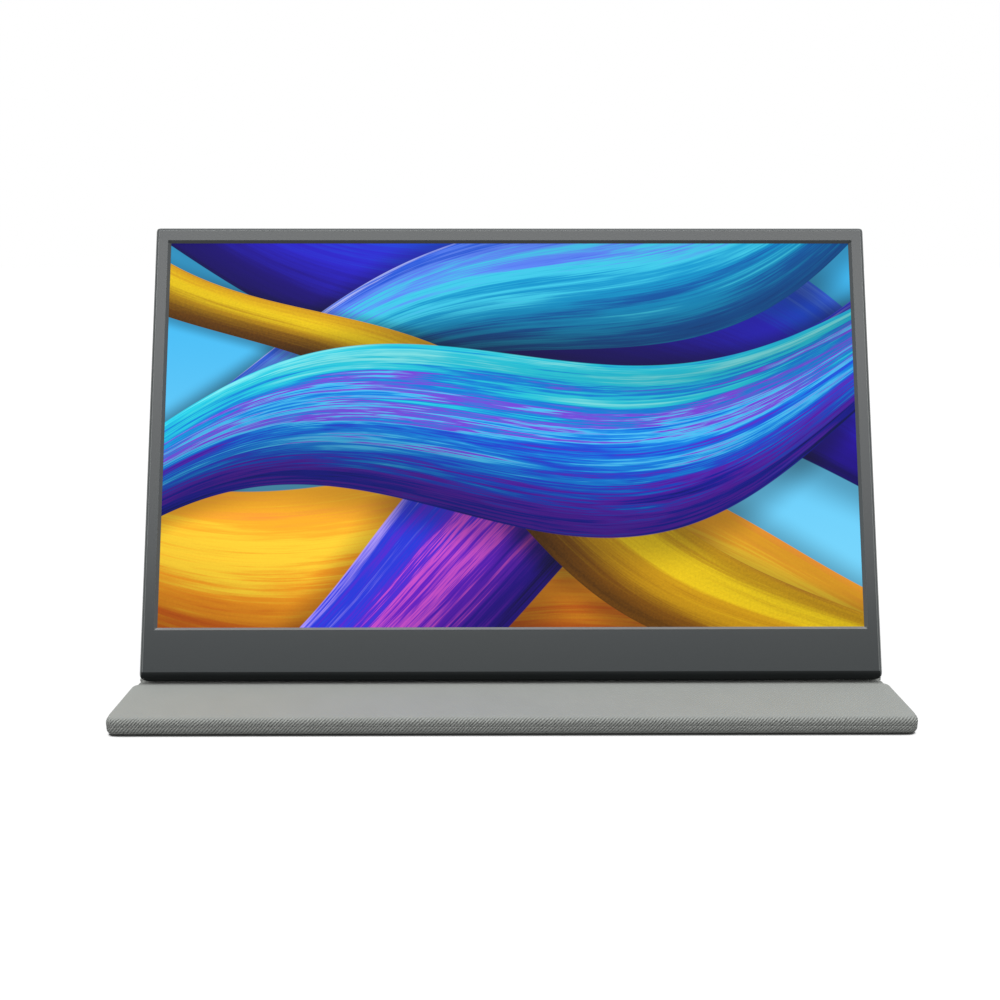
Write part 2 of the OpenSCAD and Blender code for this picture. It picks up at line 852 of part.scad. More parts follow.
// ---------------------------------------------------------------- keys

module power_button() {
    color(METAL) at_monitor() {
        from_x(-body_w / 2 - key_proud, power_key_back) translate([port_y, power_z])
            slot(key_w, power_key_l);
        from_x(power_key_back - key_flange_t, power_key_back) translate([port_y, power_z])
            slot(key_w + key_flange, power_key_l + key_flange);
    }
}

module menu_rocker() {
    color(METAL) at_monitor() {
        difference() {
            from_x(-body_w / 2 - key_proud, rocker_back) translate([port_y, rocker_z])
                slot(key_w, rocker_l);
            // Finger dip in the middle, between the two ends
            translate([-body_w / 2 - key_proud + dip_depth - dip_r, port_y, rocker_z])
                rotate([90, 0, 0]) cylinder(r = dip_r, h = 2 * key_w, center = true);
        }
        from_x(rocker_back - key_flange_t, rocker_back) translate([port_y, rocker_z])
            slot(key_w + key_flange, rocker_l + key_flange);
        post(rocker_pivot_x, rocker_z, rocker_pin_r, rocker_pin_y0, rocker_pin_y1);
    }
}

// ---------------------------------------------------------------- cover panels

// A disc with a rounded edge, lying on z = 0
module edge_disc(t, round_r, outer_r) {
    rotate_extrude($fn = 32) intersection() {
        union() {
            square([outer_r - round_r, t]);
            for (z = [round_r, t - round_r])
                translate([outer_r - round_r, z]) circle(round_r, $fn = 20);
            translate([0, round_r]) square([outer_r, t - 2 * round_r + EPS]);
        }
        square([outer_r, t]);
    }
}

// A rounded panel lying on z = 0, from y0 to y1
module rounded_slab(w, y0, y1, t = cover_t, round_r = edge_r) {
    hull() for (x = [-1, 1], y = [y0 + cover_corner_r, y1 - cover_corner_r])
        translate([x * (w / 2 - cover_corner_r), y, 0]) edge_disc(t, round_r, cover_corner_r);
}

// A flat sheet with rounded corners, from y0 to y1 and from z0 to z1
module flat_sheet(w, y0, y1, z0, z1, r = 1.5) {
    translate([0, (y0 + y1) / 2, z0]) linear_extrude(z1 - z0) rounded_rect(w, y1 - y0, r);
}

// The board and the lining of a lying panel, twill side down
module board_sheet(w, y0, y1) {
    flat_sheet(w - 2 * board_inset, y0 + board_inset, y1 - board_inset, skin_t, skin_t + board_t);
}

module lining_sheet(w, y0, y1, over = 0) {
    flat_sheet(w - 2 * lining_inset, y0 + lining_inset, y1 - lining_inset,
        skin_t + board_t - over, cover_t + over);
}

// The twill round a board: turned over its edges up to the lining
module skin(w, y0, y1) {
    difference() {
        rounded_slab(w, y0, y1);
        board_sheet(w, y0, y1);
        lining_sheet(w, y0, y1, EPS);
    }
}

module disc_row(xs, y, r, z0, z1) {
    for (x = xs) translate([x, y, z0]) cylinder(r = r, h = z1 - z0);
}

// ---- back panel, on the monitor's back

module back_panel_place() {
    at_back() upright() children();
}

back_y0 = back_fold_h + web_half;
module back_panel_skin() {
    color(TWILL) back_panel_place() skin(back_w, back_y0, back_panel_top);
}

module back_panel_board() {
    color(CARD) back_panel_place() difference() {
        board_sheet(back_w, back_y0, back_panel_top);
        disc_row(magnet_xs, magnet_z, magnet_r + magnet_pocket_gap, 0, cover_t);
    }
}

module back_panel_lining() {
    color(LINING) back_panel_place() lining_sheet(back_w, back_y0, back_panel_top);
}

module back_panel_magnets() {
    z0 = skin_t + magnet_board_gap;
    color(METAL) back_panel_place()
        disc_row(magnet_xs, magnet_z, magnet_r, z0, z0 + cover_magnet_t);
}

// ---- strut, from the rear foot to the fold on the back

module strut_place() {
    at_strut() upright() children();
}

strut_y1 = strut_l - web_half;
module strut_skin() {
    color(TWILL) strut_place() skin(back_w, web_half, strut_y1);
}

module strut_board() {
    color(CARD) strut_place() board_sheet(back_w, web_half, strut_y1);
}

module strut_lining() {
    color(LINING) strut_place() lining_sheet(back_w, web_half, strut_y1);
}

// ---- spine, flat on the table behind the lower base panel

spine_y0 = spine_fold_y + web_half;
spine_y1 = foot_y - web_half;
spine_end_r = (spine_y1 - spine_y0) / 2;
module spine_slab() {
    hull() for (x = [-1, 1])
        translate([x * (cover_w / 2 - spine_end_r), spine_y0 + spine_end_r, 0])
            edge_disc(cover_t, edge_r, spine_end_r);
}

module spine_board_sheet() {
    flat_sheet(cover_w - 2 * lining_inset, spine_y0 + board_inset, spine_y1 - board_inset,
        skin_t, skin_t + board_t, 1);
}

module spine_lining_sheet(over = 0) {
    flat_sheet(cover_w - 4 * lining_inset, spine_y0 + spine_lining_in, spine_y1 - spine_lining_in,
        skin_t + board_t - over, cover_t + over, 1);
}

module spine_skin() {
    color(TWILL) difference() {
        spine_slab();
        spine_board_sheet();
        spine_lining_sheet(EPS);
    }
}

module spine_board() {
    color(CARD) spine_board_sheet();
}

module spine_lining() {
    color(LINING) spine_lining_sheet();
}

// ---- lower base panel, on the table, and the upper one folded over it

// The panels stop at the front fold, which goes round the ends of their boards
module behind_nose() {
    intersection() {
        children();
        block(-cover_w, cover_w, nose_y, base_d, -1, 3 * cover_t);
    }
}

module lower_board_sheet() {
    flat_sheet(cover_w - 2 * board_inset, board_nose_y, lower_rear_y - board_inset,
        skin_t, skin_t + board_t);
}

module lower_lining_sheet(over = 0) {
    flat_sheet(cover_w - 2 * lining_inset, nose_y - over, lower_rear_y - lining_inset,
        skin_t + board_t - over, cover_t + over);
}

module base_lower_skin() {
    color(TWILL) difference() {
        behind_nose() rounded_slab(cover_w, base_front_y, lower_rear_y);
        lower_board_sheet();
        lower_lining_sheet(EPS);
    }
}

module base_lower_board() {
    color(CARD) difference() {
        lower_board_sheet();
        disc_row([-base_magnet_x, base_magnet_x], base_magnet_y, magnet_r + magnet_pocket_gap,
            0, cover_t);
    }
}

module base_lower_lining() {
    color(LINING) lower_lining_sheet();
}

module upper_front_board_sheet() {
    flat_sheet(cover_w - 2 * board_inset, board_nose_y, crease_front_y - board_inset,
        skin_t, skin_t + board_t);
}

module upper_rear_board_sheet() {
    board_sheet(cover_w, crease_rear_y, upper_rear_y);
}

module upper_front_lining_sheet(over = 0) {
    flat_sheet(cover_w - 2 * lining_inset, nose_y - over, crease_front_y - lining_inset,
        skin_t + board_t - over, cover_t + over);
}

module upper_rear_lining_sheet(over = 0) {
    lining_sheet(cover_w, crease_rear_y, upper_rear_y, over);
}

// The crease between the two boards: twill and lining only, with a shallow dip under the
// monitor's edge
module crease_section() {
    y0 = crease_front_y - edge_r;
    y1 = crease_rear_y + edge_r;
    dip_middle = [crease_y, crease_sink + crease_dip - crease_r];
    difference() {
        intersection() {
            union() {
                translate([y0, crease_sink]) square([y1 - y0, crease_t]);
                translate(dip_middle) circle(crease_r + crease_t);
            }
            translate([y0, crease_sink]) square([y1 - y0, cover_t - crease_sink]);
        }
        translate(dip_middle) circle(crease_r);
    }
}

module base_upper_skin() {
    color(TWILL) folded_over() difference() {
        union() {
            behind_nose() rounded_slab(cover_w, base_front_y, crease_front_y);
            rounded_slab(cover_w, crease_rear_y, upper_rear_y);
            along_x(cover_w - 2 * crease_notch) crease_section();
        }
        upper_front_board_sheet();
        upper_rear_board_sheet();
        upper_front_lining_sheet(EPS);
        upper_rear_lining_sheet(EPS);
    }
}

module base_upper_front_board() {
    color(CARD) folded_over() upper_front_board_sheet();
}

module base_upper_rear_board() {
    color(CARD) folded_over() difference() {
        upper_rear_board_sheet();
        disc_row([-base_magnet_x, base_magnet_x], base_magnet_y, magnet_r + magnet_pocket_gap,
            0, cover_t);
    }
}

module base_upper_front_lining() {
    color(LINING) folded_over() upper_front_lining_sheet();
}

module base_upper_rear_lining() {
    color(LINING) folded_over() upper_rear_lining_sheet();
}

module base_magnets() {
    z0 = skin_t + magnet_board_gap;
    xs = [-base_magnet_x, base_magnet_x];
    color(METAL) {
        disc_row(xs, base_magnet_y, magnet_r, z0, z0 + cover_magnet_t);
        folded_over() disc_row(xs, base_magnet_y, magnet_r, z0, z0 + cover_magnet_t);
    }
}

// The fold at the front: twill and lining round the ends of both boards
module front_fold() {
    color(TWILL) difference() {
        intersection() {
            rounded_slab(cover_w, base_front_y, seat_y, 2 * cover_t, nose_r);
            block(-cover_w, cover_w, base_front_y - 1, nose_y, -1, 3 * cover_t);
        }
        lower_board_sheet();
        folded_over() upper_front_board_sheet();
    }
}

// ---- fabric hinges

// The rounded end of a panel in a (y, z) section, from the fold's gap outward along +Y
module panel_end() {
    translate([web_half + edge_r, 0]) circle(edge_r + web_gap);
    translate([web_half + edge_r, -edge_r - web_gap]) square([cover_t, cover_t + 2 * web_gap]);
}

hinge_w = back_w - 8;
spine_web_w = cover_w - 2 * max(cover_corner_r, spine_end_r);
web_reach = web_half + edge_r;

// Flat on the table, between the lower base panel and the spine
module spine_web() {
    color(TWILL) along_x(spine_web_w) translate([spine_fold_y, cover_t / 2]) difference() {
        translate([-web_reach, -edge_r]) square([2 * web_reach, web_t]);
        for (s = [0, 1]) mirror([s, 0]) panel_end();
    }
}

// Round the rear foot, from the underside of the spine to the back of the strut
function on_circle(r, angle) = [r * cos(angle), r * sin(angle)];

module rear_hinge_web() {
    steps = 12;
    turn = (90 + strut_lean) / steps;
    leg = web_reach * on_circle(1, 90 + strut_lean);
    color(TWILL) along_x(hinge_w) translate([foot_y, foot_z]) difference() {
        polygon(concat(
            [[-web_reach, web_t - edge_r], [-web_reach, -edge_r]],
            [for (k = [0:steps]) on_circle(edge_r, k * turn - 90)],
            [on_circle(edge_r, strut_lean) + leg, on_circle(edge_r - web_t, strut_lean) + leg],
            [for (k = [steps:-1:0]) on_circle(edge_r - web_t, k * turn - 90)]
        ));
        mirror([1, 0]) panel_end();
        rotate(90 + strut_lean) panel_end();
    }
}

// At the fold on the monitor's back, in the middle of both panels
module back_fold_web() {
    color(TWILL) at_back() along_x(hinge_w) translate([0, back_fold_h]) difference() {
        union() {
            circle(web_t / 2);
            for (turn = [90, 270 + lean + strut_lean])
                rotate(turn) translate([0, -web_t / 2]) square([web_reach, web_t]);
        }
        for (turn = [90, 270 + lean + strut_lean]) rotate(turn) panel_end();
    }
}

front_bezel();
panel_gasket();
lcd_panel();
optical_films();
light_guide_plate();
reflector_sheet();
led_strip();
backlight_tray();
panel_driver_board();
panel_flex();
display_cable();
main_board();
scaler_chip();
power_parts();
board_shield();
usb_c_port_display();
usb_c_port_power();
mini_hdmi_port();
headphone_jack();
button_board();
power_switch();
menu_switches();
button_cable();
speaker_left();
speaker_right();
speaker_leads();
status_led();
shell_magnets();
board_screws();
shell_screws();
rear_shell();
power_button();
menu_rocker();
back_panel_skin();
back_panel_board();
back_panel_lining();
back_panel_magnets();
back_fold_web();
strut_skin();
strut_board();
strut_lining();
rear_hinge_web();
spine_skin();
spine_board();
spine_lining();
spine_web();
base_lower_skin();
base_lower_board();
base_lower_lining();
base_upper_skin();
base_upper_front_board();
base_upper_rear_board();
base_upper_front_lining();
base_upper_rear_lining();
base_magnets();
front_fold();
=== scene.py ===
import json
import math

import bmesh
import bpy
import numpy as np
from mathutils import Matrix, Vector
from mathutils.geometry import tessellate_polygon


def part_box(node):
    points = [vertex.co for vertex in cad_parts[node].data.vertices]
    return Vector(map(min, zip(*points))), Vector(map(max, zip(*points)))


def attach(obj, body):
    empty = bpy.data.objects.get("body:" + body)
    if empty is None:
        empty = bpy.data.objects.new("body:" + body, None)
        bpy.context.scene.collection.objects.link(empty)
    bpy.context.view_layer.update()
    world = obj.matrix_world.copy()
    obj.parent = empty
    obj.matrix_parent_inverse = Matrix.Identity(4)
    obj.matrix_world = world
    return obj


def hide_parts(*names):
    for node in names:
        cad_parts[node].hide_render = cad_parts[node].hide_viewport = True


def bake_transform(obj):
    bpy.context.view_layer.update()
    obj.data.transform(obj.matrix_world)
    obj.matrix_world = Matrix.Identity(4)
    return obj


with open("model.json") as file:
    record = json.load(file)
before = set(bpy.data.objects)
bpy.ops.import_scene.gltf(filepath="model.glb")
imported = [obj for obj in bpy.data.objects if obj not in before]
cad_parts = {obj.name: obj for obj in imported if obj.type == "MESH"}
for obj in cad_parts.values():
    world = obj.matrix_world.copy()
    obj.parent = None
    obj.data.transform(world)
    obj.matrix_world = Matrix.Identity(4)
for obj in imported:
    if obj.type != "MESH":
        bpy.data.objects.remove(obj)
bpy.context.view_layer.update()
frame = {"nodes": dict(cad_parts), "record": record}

MM = 0.001

# ---------------------------------------------------------------- sizes, in mm
# The CAD model's own numbers, apart from those that span() reads from the frame.

COVER_T = 4.4  # one covered board: twill, card, lining
EDGE_R = COVER_T / 2
CORNER_R = 3.4  # a board's corners, seen from above
MAX_INSET = 3.2  # innermost ring of a covered edge, less than CORNER_R
NOSE_R = 3.0  # rounding of the front fold
NOSE_START = 1.5  # how far behind the front the fold begins to part into two lobes
WEB_T = 1.0
WEB_HALF = 2.6  # from a fold's axis to the board's end
WEB_REACH = WEB_HALF + EDGE_R
WEB_START = 0.4  # where a strip's straight leg starts beside the axis
WEB_GAP = 0.05
BACK_FOLD_HALF = 2.5
SPINE_LINING_IN = 2.9
LINING_IN = 3.0
LIP = 0.22  # how deep the lining lies in the turned-over twill
CREASE_HALF = 3.2
CREASE_NOTCH = 3.0
CREASE_SINK = 0.05
CREASE_DIP = 0.4
CREASE_T = 1.2
LEAN = math.radians(20)
SCREEN_W, SCREEN_H, CHIN_H = 344.2, 193.6, 21.2
BODY_W, TOP_Z = 359.2, 222.6


def span(node, axis):
    """Lowest and highest place of a CAD node along an axis, in mm."""
    low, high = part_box(node)
    return low[axis] / MM, high[axis] / MM


BASE_X = span("base_lower_skin", 0)[1]
FRONT_Y = span("front_fold", 1)[0]
NOSE_Y = span("front_fold", 1)[1]
LOWER_REAR_Y = span("base_lower_skin", 1)[1]
UPPER_REAR_Y = span("base_upper_skin", 1)[1]
SPINE_Y = span("spine_skin", 1)
SEAT = (-26.9779, 13.7)
FOOT = (65.7779, COVER_T / 2)
STRUT_LEAN = math.radians(22.4663)
STRUT_L = 124.556
BACK_MID_Y = 7.0
BACK_FOLD_H = 112.8
BACK_TOP = 220.6
BACK_W = 355.0
HINGE_W = BACK_W - 8
SPINE_R = (SPINE_Y[1] - SPINE_Y[0]) / 2
CREASE_Y = SEAT[0] + 0.4


def at_monitor():
    return Matrix.Translation((0, SEAT[0], SEAT[1])) @ Matrix.Rotation(-LEAN, 4, "X")


def at_strut():
    return Matrix.Translation((0, FOOT[0], FOOT[1])) @ Matrix.Rotation(STRUT_LEAN, 4, "X")


# A lying panel (y along it, z its thickness) stood up, twill side to the rear
UPRIGHT = Matrix.Translation((0, COVER_T / 2, 0)) @ Matrix.Rotation(math.radians(90), 4, "X")
AT_BACK = at_monitor() @ Matrix.Translation((0, BACK_MID_Y, 0))


# ---------------------------------------------------------------- node graphs

class Value:
    """A socket of a node graph that can be added, multiplied and so on."""

    def __init__(self, graph, socket):
        self.graph, self.socket = graph, socket

    def _do(self, op, other, swap=False):
        a, b = (other, self) if swap else (self, other)
        return self.graph.math(op, a, b)

    def __add__(self, o): return self._do("ADD", o)
    def __radd__(self, o): return self._do("ADD", o, True)
    def __sub__(self, o): return self._do("SUBTRACT", o)
    def __rsub__(self, o): return self._do("SUBTRACT", o, True)
    def __mul__(self, o): return self._do("MULTIPLY", o)
    def __rmul__(self, o): return self._do("MULTIPLY", o, True)
    def __truediv__(self, o): return self._do("DIVIDE", o)


def plain(v):
    return v.socket if isinstance(v, Value) else v


class Graph:
    """Builds the nodes of one material or world."""

    def __init__(self, tree):
        self.tree = tree
        tree.nodes.clear()

    def node(self, kind, inputs=(), **props):
        n = self.tree.nodes.new(kind)
        for key, v in props.items():
            setattr(n, key, v)
        for key, v in dict(inputs).items():
            v = plain(v)
            if isinstance(v, bpy.types.NodeSocket):
                self.tree.links.new(v, n.inputs[key])
            else:
                n.inputs[key].default_value = v
        return n

    def value(self, socket):
        return Value(self, socket)

    def math(self, op, a, b=0.0):
        n = self.node("ShaderNodeMath", {0: a, 1: b}, operation=op)
        return self.value(n.outputs[0])

    def sin(self, a): return self.math("SINE", a)
    def abs(self, a): return self.math("ABSOLUTE", a)
    def power(self, a, b): return self.math("POWER", a, b)
    def low(self, a, b): return self.math("MINIMUM", a, b)

    def step(self, x, x0, x1, y0=0.0, y1=1.0):
        """Smooth step from y0 at x0 to y1 at x1."""
        n = self.node("ShaderNodeMapRange", {"Value": x, "From Min": x0, "From Max": x1,
            "To Min": y0, "To Max": y1}, interpolation_type="SMOOTHSTEP")
        return self.value(n.outputs["Result"])

    def vector(self, x, y, z=0.0):
        return self.node("ShaderNodeCombineXYZ", {0: x, 1: y, 2: z}).outputs[0]

    def split(self, v):
        n = self.node("ShaderNodeSeparateXYZ", {0: v})
        return [self.value(n.outputs[i]) for i in range(3)]

    def noise(self, v, scale, detail=2.0, rough=0.5, distortion=0.0):
        n = self.node("ShaderNodeTexNoise", {"Vector": v, "Scale": scale, "Detail": detail,
            "Roughness": rough, "Distortion": distortion})
        return self.value(n.outputs["Fac"])

    def ramp(self, x, stops):
        n = self.node("ShaderNodeValToRGB", {"Fac": x})
        n.color_ramp.interpolation = "EASE"
        while len(n.color_ramp.elements) < len(stops):
            n.color_ramp.elements.new(0.5)
        for e, (place, colour) in zip(n.color_ramp.elements, stops):
            e.position = place
        for e, (place, colour) in zip(n.color_ramp.elements, stops):
            e.color = rgba(colour)
        return n.outputs["Color"]

    def mix(self, factor, a, b, blend="MIX"):
        n = self.node("ShaderNodeMix", data_type="RGBA", blend_type=blend)
        for i, v in ((0, factor), (6, a), (7, b)):
            v = plain(v)
            if isinstance(v, bpy.types.NodeSocket):
                self.tree.links.new(v, n.inputs[i])
            else:
                n.inputs[i].default_value = rgba(v) if i else v
        return n.outputs[2]

    def grey(self, x):
        return self.vector(x, x, x)

    def bump(self, height, distance, strength=1.0):
        inputs = {"Height": height, "Distance": distance, "Strength": strength}
        return self.node("ShaderNodeBump", inputs).outputs[0]

    def coordinate(self, name):
        """A texture coordinate in mm."""
        t = self.node("ShaderNodeTexCoord").outputs[name]
        return self.node("ShaderNodeVectorMath", {0: t, 1: (1 / MM,) * 3},
            operation="MULTIPLY").outputs[0]

    def place(self):
        """The place in the row frame at rest."""
        return self.coordinate("Object")

    def weave(self):
        """The place on the cloth, from the mesh's UV map."""
        return self.coordinate("UV")


def srgb(r, g, b):
    """A colour written as 0 to 255 in the usual screen values, as linear numbers."""
    return tuple((c / 255 / 12.92) if c <= 10.3 else ((c / 255 + 0.055) / 1.055) ** 2.4
        for c in (r, g, b))


def rgba(c):
    return tuple(c) + (1.0,) if len(c) == 3 else tuple(c)


def material(name, build):
    """A material whose nodes build(graph) makes; it returns the inputs of a Principled shader."""
    m = bpy.data.materials.new(name)
    m.use_nodes = True
    g = Graph(m.node_tree)
    inputs = build(g)
    shader = g.node("ShaderNodeBsdfPrincipled", inputs)
    g.node("ShaderNodeOutputMaterial", {"Surface": shader.outputs[0]})
    return m


# ---------------------------------------------------------------- materials

def on_monitor(g):
    """Across, up and back in the monitor's own frame."""
    x, y, z = g.split(g.place())
    y, z = y - SEAT[0], z - SEAT[1]
    return x, y * math.sin(LEAN) + z * math.cos(LEAN), y * math.cos(LEAN) - z * math.sin(LEAN)


def grained(name, colour, rough, metal=0.0, grain=0.06, scale=3.0, bump=0.0, spec=0.5, **more):
    """Painted, moulded or plated stuff: a fine grain in colour, gloss and height."""
    def build(g):
        p = g.place()
        fine = g.noise(p, scale, 3.0, 0.6)
        broad = g.noise(p, 0.03, 2.0)
        light = 1 - grain + fine * grain + broad * grain
        inputs = {
            "Base Color": g.mix(1.0, colour, g.grey(light), "MULTIPLY"),
            "Roughness": rough - 0.06 + fine * 0.08 + broad * 0.04,
            "Metallic": metal,
            "Specular IOR Level": spec,
        }
        if bump:
            inputs["Normal"] = g.bump(fine, bump * MM)
        inputs.update(more)
        return inputs
    return material(name, build)


WALE_PITCH = 1.6
WALE_SLOPE = 0.94
FLOAT_PITCH = 0.62
WALE_DEPTH = 0.5


def twill_stuff(name, colour):
    """Twill: diagonal wales of short floats, on the cloth's own coordinates. On upright faces the
    grooves are painted dark and the face a little darker, a painted shade of light from above; on
    what lies flat they keep nearly the cloth's tone."""
    def build(g):
        u, v, _ = g.split(g.weave())
        normal = g.split(g.node("ShaderNodeTexCoord").outputs["Normal"])
        upright = g.step(g.abs(normal[2]), 0.98, 0.55)
        drift = (g.noise(g.vector(u, v, 7.0), 0.05, 2.0) - 0.5) * 3.0
        wobble = (g.noise(g.vector(u, v), 0.35, 2.0) - 0.5) * 0.35 + drift
        across = (u - v * WALE_SLOPE + wobble) * (2 * math.pi / WALE_PITCH)
        wale = 0.5 + 0.5 * g.sin(across)
        floats = 0.5 + 0.5 * g.sin((v + u * 0.35) * (2 * math.pi / FLOAT_PITCH) + across * 0.5)
        fibre = g.noise(g.vector(u, v), 5.0, 3.0, 0.65)
        knots = g.noise(g.vector(u, v, 3.0), 1.3, 1.0)
        patch = g.noise(g.vector(u, v), 0.05, 3.0, 0.5)
        height = g.power(wale, 0.7) * 0.78 + floats * 0.14 + fibre * 0.16
        tone = g.step(height, 0.05, 0.95) - 0.5
        # painted shade on upright faces: dark grooves, stronger knots and the face about a tenth
        # darker, as light from above would leave them
        painted_furrow_shade = 1 + tone * (0.04 + upright * 0.72) + (knots - 0.5) * upright * 1.5 - upright * 0.10
        shade = (0.93 + patch * 0.10 + (fibre - 0.5) * 0.16) * painted_furrow_shade
        return {
            "Base Color": g.mix(1.0, colour, g.grey(shade), "MULTIPLY"),
            "Roughness": 0.93,
            "Specular IOR Level": 0.2,
            "Sheen Weight": 0.12,
            "Sheen Roughness": 0.5,
            "Normal": g.bump(height, WALE_DEPTH * MM, 0.2 + upright * 0.6),
        }
    return material(name, build)


def lining_stuff(name, colour):
    """Brushed microfibre: short nap with soft streaks."""
    def build(g):
        u, v, _ = g.split(g.weave())
        nap = g.noise(g.vector(u, v * 0.6), 4.0, 4.0, 0.7)
        drift = g.noise(g.vector(u * 0.6, v), 0.06, 3.0, 0.6)
        shade = 0.80 + nap * 0.24 + drift * 0.18
        return {
            "Base Color": g.mix(1.0, colour, g.grey(shade), "MULTIPLY"),
            "Roughness": 0.95,
            "Specular IOR Level": 0.15,
            "Sheen Weight": 0.25,
            "Sheen Roughness": 0.4,
            "Normal": g.bump(nap, 0.05 * MM),
        }
    return material(name, build)


def board_stuff(name):
    """Green circuit board with traces and pads."""
    def build(g):
        x, _, z = g.split(g.place())
        cells = g.node("ShaderNodeTexBrick", {"Vector": g.vector(x, z), "Scale": 0.35,
            "Mortar Size": 0.08, "Color1": rgba(srgb(20, 96, 62)), "Color2": rgba(srgb(16, 84, 56)),
            "Mortar": rgba(srgb(40, 128, 84))})
        pads = g.step(g.noise(g.vector(x, z), 0.9, 0.0), 0.70, 0.72)
        return {
            "Base Color": g.mix(pads, cells.outputs[0], srgb(198, 170, 96)),
            "Roughness": 0.45 - pads * 0.15,
            "Metallic": pads * 0.8,
        }
    return material(name, build)


# The picture: silk-like bands in one table each, back to front. Angle is the way a band
# runs; centre and half width are waves along it: (middle, then size, rate and phase).
SKY = (srgb(60, 186, 245), srgb(120, 214, 252))
BLUES = ((0.00, srgb(4, 12, 110)), (0.15, srgb(20, 26, 185)), (0.26, srgb(96, 22, 190)),
    (0.34, srgb(24, 70, 215)), (0.45, srgb(0, 130, 225)), (0.53, srgb(70, 190, 240)),
    (0.59, srgb(120, 60, 215)), (0.68, srgb(0, 120, 215)), (0.82, srgb(30, 200, 222)),
    (1.00, srgb(130, 232, 236)))
VIOLETS = ((0.00, srgb(24, 4, 110)), (0.22, srgb(52, 12, 180)), (0.40, srgb(100, 26, 200)),
    (0.52, srgb(205, 80, 205)), (0.60, srgb(84, 36, 205)), (0.78, srgb(34, 54, 215)),
    (1.00, srgb(170, 150, 245)))
GOLDS = ((0.00, srgb(104, 62, 0)), (0.25, srgb(150, 92, 2)), (0.45, srgb(200, 148, 10)),
    (0.62, srgb(236, 200, 20)), (0.80, srgb(212, 160, 16)), (1.00, srgb(170, 110, 30)))
ORANGES = ((0.00, srgb(200, 70, 6)), (0.20, srgb(244, 116, 16)), (0.40, srgb(255, 158, 24)),
    (0.58, srgb(255, 210, 50)), (0.76, srgb(252, 176, 36)), (1.00, srgb(255, 146, 60)))
TEALS = ((0.00, srgb(0, 44, 130)), (0.20, srgb(0, 96, 180)), (0.38, srgb(0, 150, 205)),
    (0.56, srgb(60, 200, 230)), (0.72, srgb(90, 130, 245)), (0.86, srgb(30, 90, 225)),
    (1.00, srgb(180, 190, 250)))
INDIGOS = ((0.00, srgb(18, 0, 104)), (0.30, srgb(38, 4, 168)), (0.55, srgb(40, 30, 205)),
    (0.75, srgb(20, 76, 220)), (1.00, srgb(90, 140, 245)))
BANDS = (
    dict(angle=-20, centre=(0.34, 0.10, 3.0, 0.4), width=(0.19, 0.06, 2.6, 1.0),
        stops=INDIGOS, streak=0.45, seed=1.0, grain=0.0),
    dict(angle=24, centre=(0.30, 0.09, 3.4, 2.2), width=(0.15, 0.05, 3.0, 0.0),
        stops=TEALS, streak=0.9, seed=2.0, grain=0.0),
    dict(angle=-8, centre=(-0.38, 0.10, 3.2, 0.6), width=(0.20, 0.06, 2.2, 2.0),
        stops=ORANGES, streak=0.7, seed=3.0, grain=0.12),
    dict(angle=32, centre=(-0.22, 0.08, 3.6, 1.2), width=(0.16, 0.06, 3.4, 2.4),
        stops=VIOLETS, streak=1.0, seed=4.0, grain=0.0),
    dict(angle=-30, centre=(-0.06, 0.07, 3.9, 2.6), width=(0.10, 0.04, 2.9, 0.6),
        stops=GOLDS, streak=0.45, seed=6.0, grain=0.4),
    dict(angle=12, centre=(0.01, 0.13, 3.1, 3.4), width=(0.17, 0.07, 2.7, 1.4),
        stops=BLUES, streak=1.1, seed=5.0, grain=0.0),
)


def band(g, under, u, v, angle, centre, width, stops, streak, seed, grain):
    """One silk band over what lies under it."""
    a = math.radians(angle)
    along = u * math.cos(a) + v * math.sin(a)
    side = v * math.cos(a) - u * math.sin(a)
    middle = centre[0] + g.sin(along * centre[2] + centre[3]) * centre[1]
    half = width[0] + g.sin(along * width[2] + width[3]) * width[1]
    s = (side - middle) / half
    silk = g.noise(g.vector(s * 2.2, along * 0.55, seed), 2.4, 5.0, 0.62, 0.25)
    hair = g.noise(g.vector(s * 14.0, along * 0.7, seed + 7), 3.0, 3.0, 0.6)
    tone = 0.5 + s * 0.36 + (silk - 0.5) * streak + (hair - 0.5) * streak * 0.45
    colour = g.ramp(tone, stops)
    fold = 0.82 + g.sin(s * 2.3 + silk * 2.0 + along * 1.3) * 0.24
    lit = g.step(s, -1.0, 0.1, 0.58, 1.0) * fold + g.step(s, 0.80, 1.0, 0.0, 0.18)
    if grain:
        lit = lit + (g.noise(g.vector(u, v, seed), 160.0, 2.0, 0.7) - 0.5) * grain
    colour = g.mix(1.0, colour, g.grey(lit), "MULTIPLY")
    inside = g.step(g.abs(s), 1.0, 0.985)
    shade = 1 - g.step(g.abs(s + 0.06), 1.5, 0.95) * 0.45
    under = g.mix(1.0, under, g.grey(shade), "MULTIPLY")
    return g.mix(inside, under, colour)


def screen_stuff():
    """The lit picture, its bands laid one over the other."""
    def build(g):
        x, up, _ = on_monitor(g)
        u = x / SCREEN_H
        v = (up - CHIN_H - SCREEN_H / 2) / SCREEN_H
        colour = g.mix(g.step(v, -0.5, 0.5), SKY[1], SKY[0])
        for b in BANDS:
            colour = band(g, colour, u, v, **b)
        return {
            "Base Color": rgba(srgb(6, 7, 9)),
            "Roughness": 0.42,
            "Specular IOR Level": 0.05,
            "Emission Color": colour,
            "Emission Strength": 1.0,
        }
    return material("lit_screen", build)


SATIN = srgb(38, 45, 47)
RIM_GREY_AND_HIGHLIGHT = srgb(130, 134, 134)  # painted highlight on the outer bevel and the sides; the shell's side walls take this grey too
EDGE_HIGHLIGHT = srgb(105, 110, 110)  # painted highlight where the outer bevel meets the face
SILL_HIGHLIGHT = srgb(128, 130, 132)  # painted highlight on the slope under the picture, which faces up to the light
CHEEK_HIGHLIGHT = srgb(84, 88, 89)  # painted highlight on the slopes beside the picture
